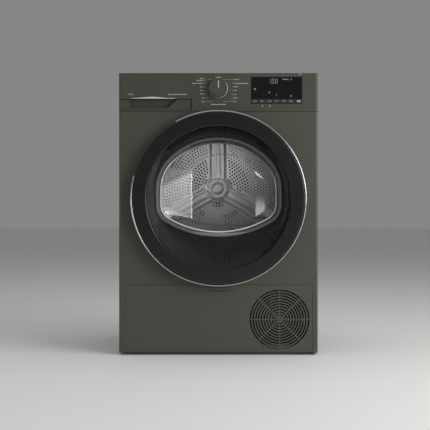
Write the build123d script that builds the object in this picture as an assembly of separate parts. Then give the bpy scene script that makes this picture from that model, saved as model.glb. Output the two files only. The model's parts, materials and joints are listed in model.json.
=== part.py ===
from build123d import *
import os
from math import asin, atan2, cos, degrees, hypot, radians, sin

# A front-loading heat-pump clothes dryer, in millimetres.
# +Z is up, the front faces -Y and +X is on the right as seen from the front.
# The origin is on the floor, in the middle of the overall width and depth.

# ---- Cabinet ----
cabinet_width = 597.0
cabinet_height = 846.0
overall_depth = 609.0
door_proud = 41.0
rear_cover_proud = 30.0
corner_radius = 6.0
sheet = 1.5
panel_gap = 0.3
side_flange = 7.0
side_panel_bottom = 7.0
side_notch_gap = 0.5
screw_edge = 18.0
screw_low = 30.0
screw_high = 62.0
screw_row_drop = 17.0
screw_row_x = 120.0
screw_hole_play = 0.1

# ---- Control band, tank drawer and worktop ----
fascia_height = 115.0
fascia_proud = 2.0
fascia_depth = 43.5
moulded_wall = 2.5
worktop_thickness = 14.0
worktop_edge_round = 3.0
drawer_width = 218.3
drawer_bottom = 737.3
drawer_thickness = 24.5
drawer_step_z = 769.0
drawer_step_depth = 4.0
pocket_left = -268.0
pocket_right_top = -121.0
pocket_right_bottom = -150.0
pocket_bottom = 743.0
pocket_rise = 16.0
pocket_lip = 6.5
pocket_back_wall = 5.5
seam = 0.7
tank_length = 361.0
tank_bottom = 771.3
tank_top = 828.0
tank_inset_outer = 12.0
tank_inset_inner = 13.0
tank_wall = 2.0
tank_filler_setback = 45.0
tank_end_room = 20.0
tank_sheet = 1.5
tank_filler_radius = 14.0
tray_play = 0.3
tray_floor = 3.0
tray_side_play = 2.2

# ---- Display, board and programme knob ----
display_left = 97.7
display_right = 251.3
display_bottom = 753.4
display_top = 834.4
display_thickness = 3.0
display_corner = 2.0
display_play = 0.2
display_proud = 0.2
board_left = -62.0
board_thickness = 1.6
board_standoff = 14.0
board_side_room = 14.0
board_low = 4.0
board_high = 2.0
board_post_radius = 3.0
board_post_inset = 8.0
module_inset = 8.0
module_depth = 10.0
knob_z = 800.0
knob_radius = 27.6
knob_height = 21.5
knob_edge_round = 1.5
knob_gap = 0.4
knob_stem_radius = 6.0
knob_shaft_radius = 3.0
dial_ring_width = 1.5
dial_ring_height = 1.8
encoder_size = 24.0
encoder_depth = 11.0

# ---- Loading window: top arc, shoulders, straight sides, corners, bottom arc ----
window_half_width = 188.5
window_top = 652.0
window_bottom = 354.6
window_top_radius = 212.5
window_bottom_radius = 310.0
window_side_top = 497.3
window_side_bottom = 452.0

# ---- Door ----
door_z = 470.0
door_radius = 262.0
door_trim_width = 5.7
door_trim_inset = 0.7
door_trim_depth = 22.0
door_ring_inner = 214.0
door_ring_thickness = 3.0
door_wall = 2.2
door_back_gap = 2.3
door_fit = 0.3
funnel_end_depth = 34.5
grip_start = 119.0
grip_end = 165.0
grip_depth = 12.0
grip_front = 5.0
window_frame_width = 12.0
window_frame_front = 30.5
window_frame_back = 48.5
glass_thickness = 3.0
glass_flange = 5.0
glass_depth = 64.0
glass_taper = 32.0
seal_inner = 16.0
seal_outer = 24.0
seal_gap = 0.3
mouth_clearance = 12.0

# ---- Door hinge and catch ----
hinge_x = 254.0
hinge_setback = 18.5
hinge_pin_radius = 2.0
hinge_eye_radius = 4.0
hinge_arm_height = 48.0
hinge_leaf_thickness = 4.5
hinge_leaf_gap = 0.8
hinge_notch_height = 64.0
hinge_notch_front = 10.5
hinge_plate_thickness = 3.0
hinge_plate_width = 32.0
running_clearance = 0.06
catch_x = -232.0
hook_width = 10.0
hook_height = 16.0
hook_reach = 17.0
catch_play = 5.0
catch_depth = 22.0

# ---- Drum ----
drum_z = 510.0
drum_radius = 268.0
drum_sheet = 1.2
drum_front = -206.0
drum_back = 225.0
drum_mouth_radius = 212.0
lifter_height = 92.0
lifter_base = 62.0
lifter_ridge = 24.0
lifter_wall = 2.5
lifter_count = 3
hub_radius = 38.0
hub_depth = 9.0
shaft_radius = 8.0
shaft_length = 39.0
shaft_flange_radius = 45.0
shaft_flange_thickness = 4.0
wall_slot_inner = 70.0
wall_slot_outer = 235.0
wall_slot_width = 9.0
wall_slot_rows = 4
felt_width = 10.0
felt_gap = 0.4
rear_felt_radius = 226.0
rear_felt_thickness = 5.6
guide_thickness = 2.0
bearing_gap = 8.0
bearing_radius = 20.0
bearing_flange = 38.0
bearing_flange_depth = 4.0
lifter_start = 8.0
lifter_end = 1.0
shaft_collar = 6.0
hub_boss = 2.0

# ---- Front bulkhead ----
bulkhead_thickness = 3.0
bulkhead_offset = 4.0
bulkhead_bottom = 215.0
bulkhead_top = 728.0
bulkhead_back = -212.0
mouth_grow = 8.0
roller_radius = 18.0
roller_width = 18.0
roller_angle = 35.0
roller_pin_radius = 5.0
duct_half_width = 125.0
duct_front = -244.0
duct_back = -216.0
duct_exit_left = -125.0
duct_exit_right = -50.0
catch_opening_x = 16.0
catch_opening_z = 22.0
roller_setback = 6.0
roller_side_play = 0.3
roller_pin_end = 3.0
filter_play = 0.6
filter_wall = 2.0
filter_rim = 14.0
filter_bars = 5
filter_slot_pitch = 12.0

# ---- Service flap ----
flap_width = 563.4
flap_top = 210.6
flap_bottom = 9.8
flap_sheet = 2.0
flap_corner = 10.0
flap_gap = 0.6
flap_return = 8.0
flap_hinge_z = 16.0
flap_hinge_setback = 6.5
flap_pin_radius = 3.0
flap_lug_x = 271.0
flap_lug_width = 6.0
button_width = 60.0
button_bottom = 193.5
button_top = 204.0
button_gap = 0.4
button_proud = 0.8
grille_x = 183.5
grille_z = 106.8
grille_radius = 90.0
grille_rings = 11
grille_slot = 4.0
grille_bridge = 3.2
grille_bridges = 8

# ---- Base, feet and machinery ----
base_half_width = 283.0
base_front = -247.0
base_bottom = 2.5
base_floor = 3.0
base_wall = 3.0
base_top = 60.0
base_front_top = 30.0
idler_post_front = 14.0
idler_post_depth = 8.0
idler_post_half = 9.0
foot_x = 245.0
foot_front = -220.0
foot_back = 240.0
foot_radius = 20.0
foot_stud_radius = 5.0
foot_boss_radius = 12.0
foot_boss_top = 36.0
foot_height = 8.0
foot_pocket_play = 1.5
channel_left = -266.0
channel_right = -30.0
channel_front = -246.0
channel_back = 172.0
channel_top = 190.0
exchanger_inset = 6.0
evaporator_front = -190.0
evaporator_length = 110.0
condenser_front = -60.0
condenser_length = 170.0
exchanger_height = 168.0
exchanger_plate = 2.0
exchanger_fin = 1.2
exchanger_fins = 12
exchanger_fin_play = 4.0
exchanger_tube_radius = 5.0
exchanger_tube_end = 3.0
exchanger_levels = 4
motor_x = 110.0
motor_z = 130.0
motor_radius = 58.0
motor_front = 22.0
motor_length = 126.0
motor_shaft_radius = 7.0
motor_shoulder = 12.0
motor_shoulder_depth = 8.0
motor_foot_inset = 20.0
motor_foot_half = 42.0
motor_foot_wall = 8.0
motor_foot_plate = 6.0
pulley_radius = 12.0
pulley_width = 24.0
belt_thickness = 2.0
belt_width = 9.0
belt_gap = 0.4
blower_radius = 70.0
blower_front = 210.0
blower_width = 46.0
blower_blades = 24
scroll_radius = 88.0
chamber_depth = 32.0
blower_inlet_radius = 45.0
blower_outlet_radius = 62.0
blower_disc = 2.0
blower_hub_radius = 16.0
blower_hub_setback = 6.0
blower_band = 14.0
blade_depth = 13.0
blade_thickness = 1.4
scroll_overhang = 26.0
idler_along = 60.0
idler_radius = 14.0
idler_pivot_x = 190.0
idler_pivot_z = 60.0
idler_pin_radius = 4.0
idler_width = 11.0
idler_pin_end = 1.0
idler_arm_gap = 0.4
idler_arm_thickness = 5.0
idler_arm_width = 12.0
idler_arm_hub = 11.0
idler_arm_eye = 8.0
compressor_x = 200.0
compressor_y = -95.0
compressor_radius = 60.0
compressor_height = 210.0
compressor_round = 22.0
compressor_foot_height = 9.0
compressor_plate = 3.0
compressor_pipe_radius = 5.0
compressor_pipe_rise = 14.0
fan_radius = 78.0
fan_front = -200.0
fan_width = 18.0
fan_blades = 7
fan_hub_radius = 20.0
shroud_front = -212.0
shroud_depth = 38.0
shroud_room = 10.0
shroud_play = 3.0
shroud_wall = 3.0
shroud_bar_width = 8.0
shroud_bar_depth = 5.0
fan_motor_radius = 24.0
fan_motor_depth = 16.0
fan_pin_radius = 3.0
fan_blade_chord = 30.0
shroud_foot_x = 60.0
shroud_foot_half = 8.0
pump_x = -182.0
pump_y = 238.0
pump_radius = 24.0
pump_height = 72.0
pump_neck = 10.0
pump_flange = 6.0
pump_flange_height = 8.0
hose_radius = 7.0
hose_bend = 34.0
hose_x = -270.0
hose_z = 800.0
hose_low_z = 200.0
hose_bend_z = 320.0
hose_wall = 2.0
inlet_x = 240.0
inlet_z = 110.0
inlet_radius = 10.0
screw_head_radius = 4.0
screw_head_height = 2.2
screw_shank_radius = 1.9
screw_length = 11.0
rear_duct_radius = 235.0
rear_duct_flange = 12.0
rear_duct_leg_half = 75.0
rear_duct_leg_bottom = 66.0
rear_duct_leg_overlap = 90.0
rear_duct_screw_low = 34.0
rear_duct_screw_high = 194.0
vent_inner = 70.0
vent_outer = 198.0
vent_count = 6
vent_bridge = 16.0
gland_bore_radius = 4.0
gland_flange = 5.0
gland_flange_depth = 3.0
gland_nut = 4.0
gland_nut_depth = 6.0
gland_nut_gap = 2.0
gland_nose = 9.0

# ---- The cabinet that the places above are stated for ----
stated_width = 597.0
stated_height = 846.0
stated_front = -263.5
stated_back = 274.5

# ---- A resized cabinet: places keep their share of it, round parts its smallest share ----
half_width = cabinet_width / 2
rear = overall_depth / 2
front = door_proud - rear
back = rear - rear_cover_proud
across = cabinet_width / stated_width
upward = cabinet_height / stated_height
along = (back - front) / (stated_back - stated_front)
smallest = min(across, upward, along)
stated_door_z = door_z


def shares(ratio, *lengths):
    return [ratio * length for length in lengths]


def depths(*places):
    return [front + along * (place - stated_front) for place in places]


def about_door(*heights):
    return [upward * stated_door_z + smallest * (height - stated_door_z) for height in heights]


drawer_width, pocket_left, pocket_right_top, pocket_right_bottom = shares(
    across, drawer_width, pocket_left, pocket_right_top, pocket_right_bottom)
display_left, display_right, board_left, screw_row_x = shares(
    across, display_left, display_right, board_left, screw_row_x)
flap_width, flap_lug_x, grille_x, base_half_width, foot_x = shares(
    across, flap_width, flap_lug_x, grille_x, base_half_width, foot_x)
channel_left, channel_right, duct_half_width, duct_exit_left, duct_exit_right = shares(
    across, channel_left, channel_right, duct_half_width, duct_exit_left, duct_exit_right)
motor_x, idler_pivot_x, compressor_x, pump_x, hose_x, inlet_x = shares(
    across, motor_x, idler_pivot_x, compressor_x, pump_x, hose_x, inlet_x)
fascia_height, drawer_bottom, drawer_step_z, pocket_bottom, pocket_rise = shares(
    upward, fascia_height, drawer_bottom, drawer_step_z, pocket_bottom, pocket_rise)
tank_bottom, tank_top, display_bottom, display_top, knob_z = shares(
    upward, tank_bottom, tank_top, display_bottom, display_top, knob_z)
door_z, drum_z, bulkhead_bottom, bulkhead_top, flap_top = shares(
    upward, door_z, drum_z, bulkhead_bottom, bulkhead_top, flap_top)
button_bottom, button_top, grille_z, channel_top, exchanger_height = shares(
    upward, button_bottom, button_top, grille_z, channel_top, exchanger_height)
motor_z, idler_pivot_z, compressor_height, inlet_z, rear_duct_leg_bottom = shares(
    upward, motor_z, idler_pivot_z, compressor_height, inlet_z, rear_duct_leg_bottom)
hose_z, hose_low_z, hose_bend_z = shares(upward, hose_z, hose_low_z, hose_bend_z)
drum_front, drum_back, bulkhead_back, duct_front, duct_back = depths(
    drum_front, drum_back, bulkhead_back, duct_front, duct_back)
base_front, foot_front, foot_back, channel_front, channel_back = depths(
    base_front, foot_front, foot_back, channel_front, channel_back)
evaporator_front, condenser_front, motor_front, blower_front, compressor_y = depths(
    evaporator_front, condenser_front, motor_front, blower_front, compressor_y)
fan_front, shroud_front, pump_y = depths(fan_front, shroud_front, pump_y)
tank_length, evaporator_length, condenser_length, motor_length, blower_width = shares(
    along, tank_length, evaporator_length, condenser_length, motor_length, blower_width)
chamber_depth, shaft_length = shares(along, chamber_depth, shaft_length)
window_top, window_bottom, window_side_top, window_side_bottom = about_door(
    window_top, window_bottom, window_side_top, window_side_bottom)
window_half_width, window_top_radius, window_bottom_radius = shares(
    smallest, window_half_width, window_top_radius, window_bottom_radius)
door_radius, door_ring_inner, hinge_x, catch_x = shares(
    smallest, door_radius, door_ring_inner, hinge_x, catch_x)
drum_radius, drum_mouth_radius, lifter_height, rear_felt_radius = shares(
    smallest, drum_radius, drum_mouth_radius, lifter_height, rear_felt_radius)
wall_slot_inner, wall_slot_outer = shares(smallest, wall_slot_inner, wall_slot_outer)
knob_radius, grille_radius, fan_radius, motor_radius, compressor_radius, pump_radius = shares(
    smallest, knob_radius, grille_radius, fan_radius, motor_radius, compressor_radius, pump_radius)
blower_radius, scroll_radius, blower_inlet_radius, blower_outlet_radius = shares(
    smallest, blower_radius, scroll_radius, blower_inlet_radius, blower_outlet_radius)
rear_duct_radius, rear_duct_leg_half, vent_inner, vent_outer, rear_duct_leg_overlap = shares(
    smallest, rear_duct_radius, rear_duct_leg_half, vent_inner, vent_outer, rear_duct_leg_overlap)

# ---- Places worked out from the sizes above ----
door_front = front - door_proud
door_back = front - door_back_gap
fascia_front = front - fascia_proud
fascia_back = fascia_front + fascia_depth
fascia_bottom = cabinet_height - fascia_height
worktop_bottom = cabinet_height - worktop_thickness
floor_top = base_bottom + base_floor
bulkhead_front = front + sheet + bulkhead_offset
drawer_right = drawer_width - half_width
drawer_back = fascia_front + drawer_thickness
tank_left = -half_width + tank_inset_outer
tank_right = drawer_right - tank_inset_inner
hinge_y = door_front + hinge_setback
flap_hinge_y = front + flap_hinge_setback
rear_inner = back - sheet


# ---- Plain helpers ----
def block(x0, x1, y0, y1, z0, z1):
    centre = Pos((x0 + x1) / 2, (y0 + y1) / 2, (z0 + z1) / 2)
    return centre * Box(x1 - x0, y1 - y0, z1 - z0)


def rod_y(x, z, radius, y0, y1):
    return Pos(x, (y0 + y1) / 2, z) * Rot(90, 0, 0) * Cylinder(radius, y1 - y0)


def rod_z(x, y, radius, z0, z1):
    return Pos(x, y, (z0 + z1) / 2) * Cylinder(radius, z1 - z0)


def rod_x(y, z, radius, x0, x1):
    return Pos((x0 + x1) / 2, y, z) * Rot(0, 90, 0) * Cylinder(radius, x1 - x0)


def tube_y(x, z, outer, inner, y0, y1):
    return rod_y(x, z, outer, y0, y1) - rod_y(x, z, inner, y0 - 1, y1 + 1)


def upright(profile, y0, y1):
    """Extrude a profile drawn as (x, z) from y0 to y1."""
    return extrude(Plane.XZ.offset(-y1) * profile, y1 - y0)


def shell_box(x0, x1, y0, y1, z0, z1, wall):
    hollow = block(x0 + wall, x1 - wall, y0 + wall, y1 - wall, z0 + wall, z1 - wall)
    return block(x0, x1, y0, y1, z0, z1) - hollow


def polar(radius, angle, x=0.0, z=0.0):
    return x + radius * cos(radians(angle)), z + radius * sin(radians(angle))


def wedge(start, end, reach, x, z, y0, y1):
    """A solid slice of angle about a Y axis through (x, z)."""
    rim = [polar(reach, start + (end - start) * i / 4, x, z) for i in range(5)]
    return upright(make_face(Polyline((x, z), *rim, close=True)), y0, y1)


def cabinet_plan(y_face, inset=0.0):
    """Plan outline of the cabinet with rounded front corners, set in by inset."""
    half = half_width - inset
    y0 = y_face + inset
    radius = corner_radius - inset
    y1 = back - inset
    line = Line((-half, y1), (-half, y0 + radius))
    line += CenterArc((-half + radius, y0 + radius), radius, 180, 90)
    line += Line((-half + radius, y0), (half - radius, y0))
    line += CenterArc((half - radius, y0 + radius), radius, 270, 90)
    line += Line((half, y0 + radius), (half, y1))
    line += Line((half, y1), (-half, y1))
    return make_face(line)


def cabinet_envelope(y_face):
    return extrude(cabinet_plan(y_face), cabinet_height)


# ---- Window outline ----
def blend_radius(big, half, drop):
    """Radius that is tangent inside the big arc and to the straight side."""
    return (big ** 2 - half ** 2 - drop ** 2) / (2 * (big - half))


def window_outline(grow=0.0):
    """The D-shaped loading window, drawn as (x, z) and offset by grow."""
    top_z = window_top - window_top_radius
    low_z = window_bottom + window_bottom_radius
    shoulder = blend_radius(window_top_radius, window_half_width, window_side_top - top_z)
    corner = blend_radius(window_bottom_radius, window_half_width, window_side_bottom - low_z)
    shoulder_x = window_half_width - shoulder
    corner_x = window_half_width - corner
    rise = degrees(atan2(window_side_top - top_z, shoulder_x))
    fall = degrees(atan2(low_z - window_side_bottom, corner_x))
    half = window_half_width + grow
    line = CenterArc((0, top_z), window_top_radius + grow, rise, 180 - 2 * rise)
    line += CenterArc((-shoulder_x, window_side_top), shoulder + grow, 180 - rise, rise)
    line += Line((-half, window_side_top), (-half, window_side_bottom))
    line += CenterArc((-corner_x, window_side_bottom), corner + grow, 180, fall)
    line += CenterArc((0, low_z), window_bottom_radius + grow, 180 + fall, 180 - 2 * fall)
    line += CenterArc((corner_x, window_side_bottom), corner + grow, -fall, fall)
    line += Line((half, window_side_bottom), (half, window_side_top))
    line += CenterArc((shoulder_x, window_side_top), shoulder + grow, 0, rise)
    return make_face(line)


def window_prism(grow, y0, y1):
    return upright(window_outline(grow), y0, y1)


def window_ring(outer, inner, y0, y1):
    return window_prism(outer, y0, y1) - window_prism(inner, y0 - 1, y1 + 1)


def rim_outline(radius):
    """Circle about the door's axis, split in line with the corners of the window outline."""
    corners = window_outline().vertices()
    angles = sorted(degrees(atan2(v.Y - door_z, v.X)) % 360 for v in corners)
    line = Curve()
    for start, end in zip(angles, angles[1:] + [angles[0] + 360]):
        line += CenterArc((0, door_z), radius, start, end - start)
    return make_face(line)


def between(first, y0, second, y1):
    """Ruled solid from one (x, z) profile at y0 to another at y1."""
    sections = [Plane.XZ.offset(-y0) * first, Plane.XZ.offset(-y1) * second]
    return loft(sections, ruled=True)


# ---- Cabinet panels ----
def make_side_panel(side):
    skin = cabinet_plan(front) - cabinet_plan(front, sheet)
    panel = extrude(skin, worktop_bottom - side_panel_bottom)
    panel = Pos(0, 0, side_panel_bottom) * panel
    inner = half_width - side_flange
    keep = block(inner, half_width + 1, front - 1, back + 1, 0, cabinet_height)
    notch = block(inner - 1, half_width + 1, front - 1, fascia_back + side_notch_gap,
                  fascia_bottom - side_notch_gap, cabinet_height)
    panel = (panel & keep) - notch
    return panel if side > 0 else mirror(panel, Plane.YZ)


def make_front_panel():
    half = half_width - side_flange - panel_gap
    top = fascia_bottom - panel_gap
    bottom = flap_bottom
    body = block(-half, half, front, front + flap_return, bottom, top)
    body -= block(-half + sheet, half - sheet, front + sheet, back, bottom - 1, top - sheet)
    opening = flap_width / 2 + flap_gap
    body -= block(-opening, opening, front - 1, back, bottom - 1, flap_top + flap_gap)
    body += block(-half, half, front, front + flap_return, flap_top + flap_gap,
                  flap_top + flap_gap + sheet)
    body -= window_prism(mouth_clearance, front - 1, front + flap_return + 1)
    wide = hook_width / 2 + catch_play
    tall = hook_height / 2 + catch_play
    body -= block(catch_x - wide, catch_x + wide, front - 1, bulkhead_front, door_z - tall, door_z + tall)
    return body


def make_worktop():
    half = half_width
    top = block(-half, half, fascia_back + panel_gap, back, worktop_bottom, cabinet_height)
    rim = top.faces().sort_by(Axis.Z)[-1].edges()
    return fillet(rim, worktop_edge_round)


def rear_screw_places():
    x = half_width - screw_edge
    low = base_top + screw_low
    rise = worktop_bottom - screw_high - low
    sides = [(s * x, low + rise * i / 4) for i in range(5) for s in (-1, 1)]
    return sides + [(s * screw_row_x, worktop_bottom - screw_row_drop) for s in (-1, 1)]


def duct_screw_places():
    radius = rear_duct_radius - rear_duct_flange / 2
    places = [polar(radius, a, 0, drum_z) for a in range(0, 226, 45)]
    side = rear_duct_leg_half - rear_duct_flange / 2
    low = rear_duct_leg_bottom
    return places + [(motor_x + s * side, low + rise) for rise in (rear_duct_screw_low, rear_duct_screw_high)
                     for s in (-1, 1)]


def make_rear_panel():
    half = half_width - side_flange - panel_gap
    panel = block(-half, half, rear_inner, back, base_top + 1, worktop_bottom - panel_gap)
    turn = 360 / vent_count
    for vent in range(vent_count):
        start = vent * turn + vent_bridge / 2
        sector = wedge(start, start + turn - vent_bridge, 2 * vent_outer, 0, drum_z, rear_inner - 1, back + 1)
        panel -= sector & tube_y(0, drum_z, vent_outer, vent_inner, rear_inner - 1, back + 1)
    panel -= rod_y(motor_x, motor_z, blower_outlet_radius, rear_inner - 1, back + 1)
    panel -= rod_y(inlet_x, inlet_z, inlet_radius + screw_hole_play, rear_inner - 1, back + 1)
    for x, z in rear_screw_places() + duct_screw_places():
        panel -= rod_y(x, z, screw_shank_radius + screw_hole_play, rear_inner - 1, back + 1)
    half_guide = guide_thickness / 2
    guide_front = drum_back + felt_gap + rear_felt_thickness
    return panel + tube_y(0, drum_z, rear_felt_radius + half_guide, rear_felt_radius - half_guide,
                          guide_front, rear_inner)


def rear_duct_solid(grow, y0, y1):
    disc = rod_y(0, drum_z, rear_duct_radius + grow, y0, y1)
    half = rear_duct_leg_half + grow
    leg = block(motor_x - half, motor_x + half, y0, y1, rear_duct_leg_bottom - grow,
                drum_z - rear_duct_leg_overlap)
    return disc + leg


def make_rear_duct_cover():
    flange = rear_duct_solid(0, back, back + sheet)
    bowl = rear_duct_solid(-rear_duct_flange, back, rear)
    cavity = rear_duct_solid(-rear_duct_flange - sheet, back - 1, rear - sheet)
    cover = flange + bowl - cavity
    for x, z in duct_screw_places():
        cover -= rod_y(x, z, screw_shank_radius + screw_hole_play, back - 1, back + sheet + 1)
    return cover


def make_screws():
    screws = []
    seats = [(x, z, back) for x, z in rear_screw_places()]
    seats += [(x, z, back + sheet) for x, z in duct_screw_places()]
    for x, z, seat in seats:
        head = rod_y(x, z, screw_head_radius, seat, seat + screw_head_height)
        screws.append(head + rod_y(x, z, screw_shank_radius, seat - screw_length, seat))
    return Compound(children=screws)


# ---- Control band ----
def make_fascia():
    body = block(-half_width, half_width, fascia_front, fascia_back, fascia_bottom, cabinet_height)
    body &= cabinet_envelope(fascia_front)
    wall = moulded_wall
    body -= block(drawer_right + seam + wall, half_width - wall, fascia_front + wall, fascia_back + 1,
                  fascia_bottom + wall, cabinet_height - wall)
    body -= block(-half_width - 1, drawer_right + seam, fascia_front - 1, drawer_back + panel_gap,
                  drawer_bottom - seam, cabinet_height + 1)
    gap = tray_side_play
    body -= block(tank_left - gap, tank_right + gap, drawer_back - 1, fascia_back + 1,
                  tank_bottom - gap, tank_top + gap)
    display_middle = (display_bottom + display_top) / 2
    play = display_play
    body -= block(display_left - play, display_right + play, fascia_front - 1, fascia_front + wall + 1,
                  display_bottom - play, display_top + play)
    body -= rod_y(0, knob_z, knob_stem_radius + knob_gap, fascia_front - 1, fascia_front + wall + 1)
    post_y = fascia_front + wall + board_standoff
    for x in (board_left + board_post_inset, display_left - board_post_inset):
        for z in (display_bottom + board_post_radius, display_top - board_post_radius):
            body += rod_y(x, z, board_post_radius, fascia_front + wall, post_y)
    body += rod_y(display_right + board_post_inset, display_middle, board_post_radius,
                  fascia_front + wall, post_y)
    return body


def make_display_window():
    face = Pos((display_left + display_right) / 2, (display_bottom + display_top) / 2) * RectangleRounded(
        display_right - display_left, display_top - display_bottom, display_corner)
    y0 = fascia_front - display_proud
    return upright(face, y0, y0 + display_thickness)


def make_control_board():
    y0 = fascia_front + moulded_wall + board_standoff
    board = block(board_left, display_right + board_side_room, y0, y0 + board_thickness,
                  display_bottom - board_low, display_top + board_high)
    half = encoder_size / 2
    encoder = block(-half, half, y0 - encoder_depth, y0, knob_z - half, knob_z + half)
    encoder -= rod_y(0, knob_z, knob_shaft_radius + running_clearance, y0 - encoder_depth - 1, y0)
    module = block(display_left + module_inset, display_right - module_inset, y0 - module_depth, y0,
                   display_bottom + module_inset, display_top - module_inset)
    return board + encoder + module


def make_dial_ring():
    inner = knob_radius + knob_gap
    return tube_y(0, knob_z, inner + dial_ring_width, inner, fascia_front - dial_ring_height, fascia_front)


def make_knob():
    y1 = fascia_front - knob_gap
    y0 = y1 - knob_height
    knob = rod_y(0, knob_z, knob_radius, y0, y1)
    knob = fillet(knob.edges().group_by(Axis.Y)[0], knob_edge_round)
    encoder_front = fascia_front + moulded_wall + board_standoff - encoder_depth
    stem_end = encoder_front - knob_gap
    knob += rod_y(0, knob_z, knob_stem_radius, y1, stem_end)
    return knob + rod_y(0, knob_z, knob_shaft_radius, stem_end, encoder_front + encoder_depth - 2)


# ---- Tank drawer ----
def make_drawer_front():
    left = -half_width
    body = block(left, drawer_right, fascia_front, drawer_back, drawer_bottom, cabinet_height)
    body &= cabinet_envelope(fascia_front)
    step_y = fascia_front + drawer_step_depth
    body -= block(left - 1, drawer_right + 1, fascia_front - 1, step_y, drawer_bottom - 1, drawer_step_z)
    outline = Polyline((pocket_left, pocket_bottom), (pocket_right_bottom, pocket_bottom),
                       (pocket_right_top, drawer_step_z), (pocket_left, drawer_step_z), close=True)
    pocket_y = drawer_back - pocket_back_wall
    body -= upright(make_face(outline), fascia_front - 1, pocket_y)
    body -= block(pocket_left, pocket_right_top, fascia_front + pocket_lip, pocket_y,
                  drawer_step_z - 1, drawer_step_z + pocket_rise)
    return body


def make_water_tank():
    y1 = drawer_back + tank_length
    tank = shell_box(tank_left, tank_right, drawer_back, y1, tank_bottom, tank_top, tank_wall)
    tank -= rod_z((tank_left + tank_right) / 2, y1 - tank_filler_setback, tank_filler_radius,
                  tank_top - 2 * tank_wall, tank_top + 1)
    return tank


def make_tank_housing():
    gap = tray_side_play
    x0 = tank_left - gap
    x1 = tank_right + gap
    y1 = drawer_back + tank_length + tank_end_room
    z0 = tank_bottom - tray_play - tray_floor
    z1 = tank_top + gap
    tray = block(x0 - tank_sheet, x1 + tank_sheet, fascia_back, y1, z0, z1)
    return tray - block(x0, x1, fascia_back - 1, y1 - moulded_wall, z0 + tray_floor, z1 + 1)


# ---- Front bulkhead, seals and filter ----
def roller_centre(side):
    reach = drum_radius + roller_radius + felt_gap
    return polar(reach, -90 + side * roller_angle, 0, drum_z)


def make_bulkhead():
    half = half_width - side_flange - 2
    plate_back = bulkhead_front + bulkhead_thickness
    plate = block(-half, half, bulkhead_front, plate_back, bulkhead_bottom, bulkhead_top)
    rim = drum_mouth_radius + felt_width - 4
    collar = tube_y(0, drum_z, rim, rim - bulkhead_thickness, bulkhead_front, bulkhead_back)
    ring = rod_y(0, drum_z, rim, bulkhead_back - bulkhead_thickness, bulkhead_back)
    felt_seat = tube_y(0, drum_z, drum_mouth_radius + felt_width, rim - 1,
                       bulkhead_back - bulkhead_thickness, bulkhead_back)
    body = plate + collar + ring + felt_seat
    mouth_front = front + sheet + 0.2
    body += window_prism(mouth_grow + bulkhead_thickness, mouth_front, bulkhead_back)
    duct = block(-duct_half_width, duct_half_width, duct_front, duct_back, bulkhead_bottom, window_bottom)
    body += duct
    body += block(duct_exit_left, duct_exit_right, duct_front, duct_back, channel_top + 0.3, bulkhead_bottom)
    wall = moulded_wall
    body -= window_prism(mouth_grow, mouth_front - 1, bulkhead_back + 1)
    body -= block(-duct_half_width + wall, duct_half_width - wall, duct_front + wall, duct_back - wall,
                  bulkhead_bottom + wall, window_bottom + 60)
    body -= block(duct_exit_left + wall, duct_exit_right - wall, duct_front + wall, duct_back - wall,
                  channel_top - 1, bulkhead_bottom + wall + 1)
    body -= block(catch_x - catch_opening_x, catch_x + catch_opening_x, bulkhead_front - 1, plate_back + 1,
                  door_z - catch_opening_z, door_z + catch_opening_z)
    for side in (-1, 1):
        x, z = roller_centre(side)
        shoulder = drum_front + roller_setback
        body += rod_y(x, z, 2 * roller_pin_radius, bulkhead_front, shoulder)
        body += rod_y(x, z, roller_pin_radius, shoulder, shoulder + roller_width + roller_pin_end)
    return body


def make_roller(side):
    x, z = roller_centre(side)
    y0 = drum_front + roller_setback + roller_side_play
    return tube_y(x, z, roller_radius, roller_pin_radius + running_clearance, y0, y0 + roller_width)


def make_felt_seals():
    outer = drum_mouth_radius + felt_width
    ahead = tube_y(0, drum_z, outer, drum_mouth_radius + 1, bulkhead_back, drum_front - felt_gap)
    y0 = drum_back + felt_gap
    half = felt_width / 2
    behind = tube_y(0, drum_z, rear_felt_radius + half, rear_felt_radius - half, y0, y0 + rear_felt_thickness)
    return Compound(children=[ahead, behind])


def make_lint_filter():
    wall = moulded_wall
    x1 = duct_half_width - wall - filter_play
    y0 = duct_front + wall + filter_play
    y1 = duct_back - wall - filter_play
    z0 = bulkhead_bottom + wall
    z1 = window_bottom - mouth_grow - 4
    frame = shell_box(-x1, x1, y0, y1, z0, z1, filter_wall)
    inner = x1 - filter_rim
    frame -= block(-inner, inner, y0 - 1, y1 + 1, z0 + filter_rim, z1 - filter_rim)
    for i in range(filter_bars):
        x = inner * ((2 * i + 1) / filter_bars - 1)
        frame += block(x - filter_wall / 2, x + filter_wall / 2, y0, y1,
                       z0 + filter_rim - 1, z1 - filter_rim + 1)
    count = int(inner / filter_slot_pitch)
    slots = [block(i * filter_slot_pitch - filter_wall, i * filter_slot_pitch + filter_wall,
                   y0 + 2 * filter_wall, y1 - 2 * filter_wall, z1 - filter_wall - 1, z1 + 1)
             for i in range(-count, count + 1)]
    return frame - Compound(children=slots)


def make_door_catch():
    wide = hook_width / 2 + catch_play
    tall = hook_height / 2 + catch_play
    y0 = front + sheet
    body = block(catch_x - wide - 2.5, catch_x + wide + 2.5, y0, y0 + catch_depth,
                 door_z - tall - 3, door_z + tall + 3)
    return body - block(catch_x - wide, catch_x + wide, y0 - 1, y0 + catch_depth - 3,
                        door_z - tall, door_z + tall)


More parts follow.
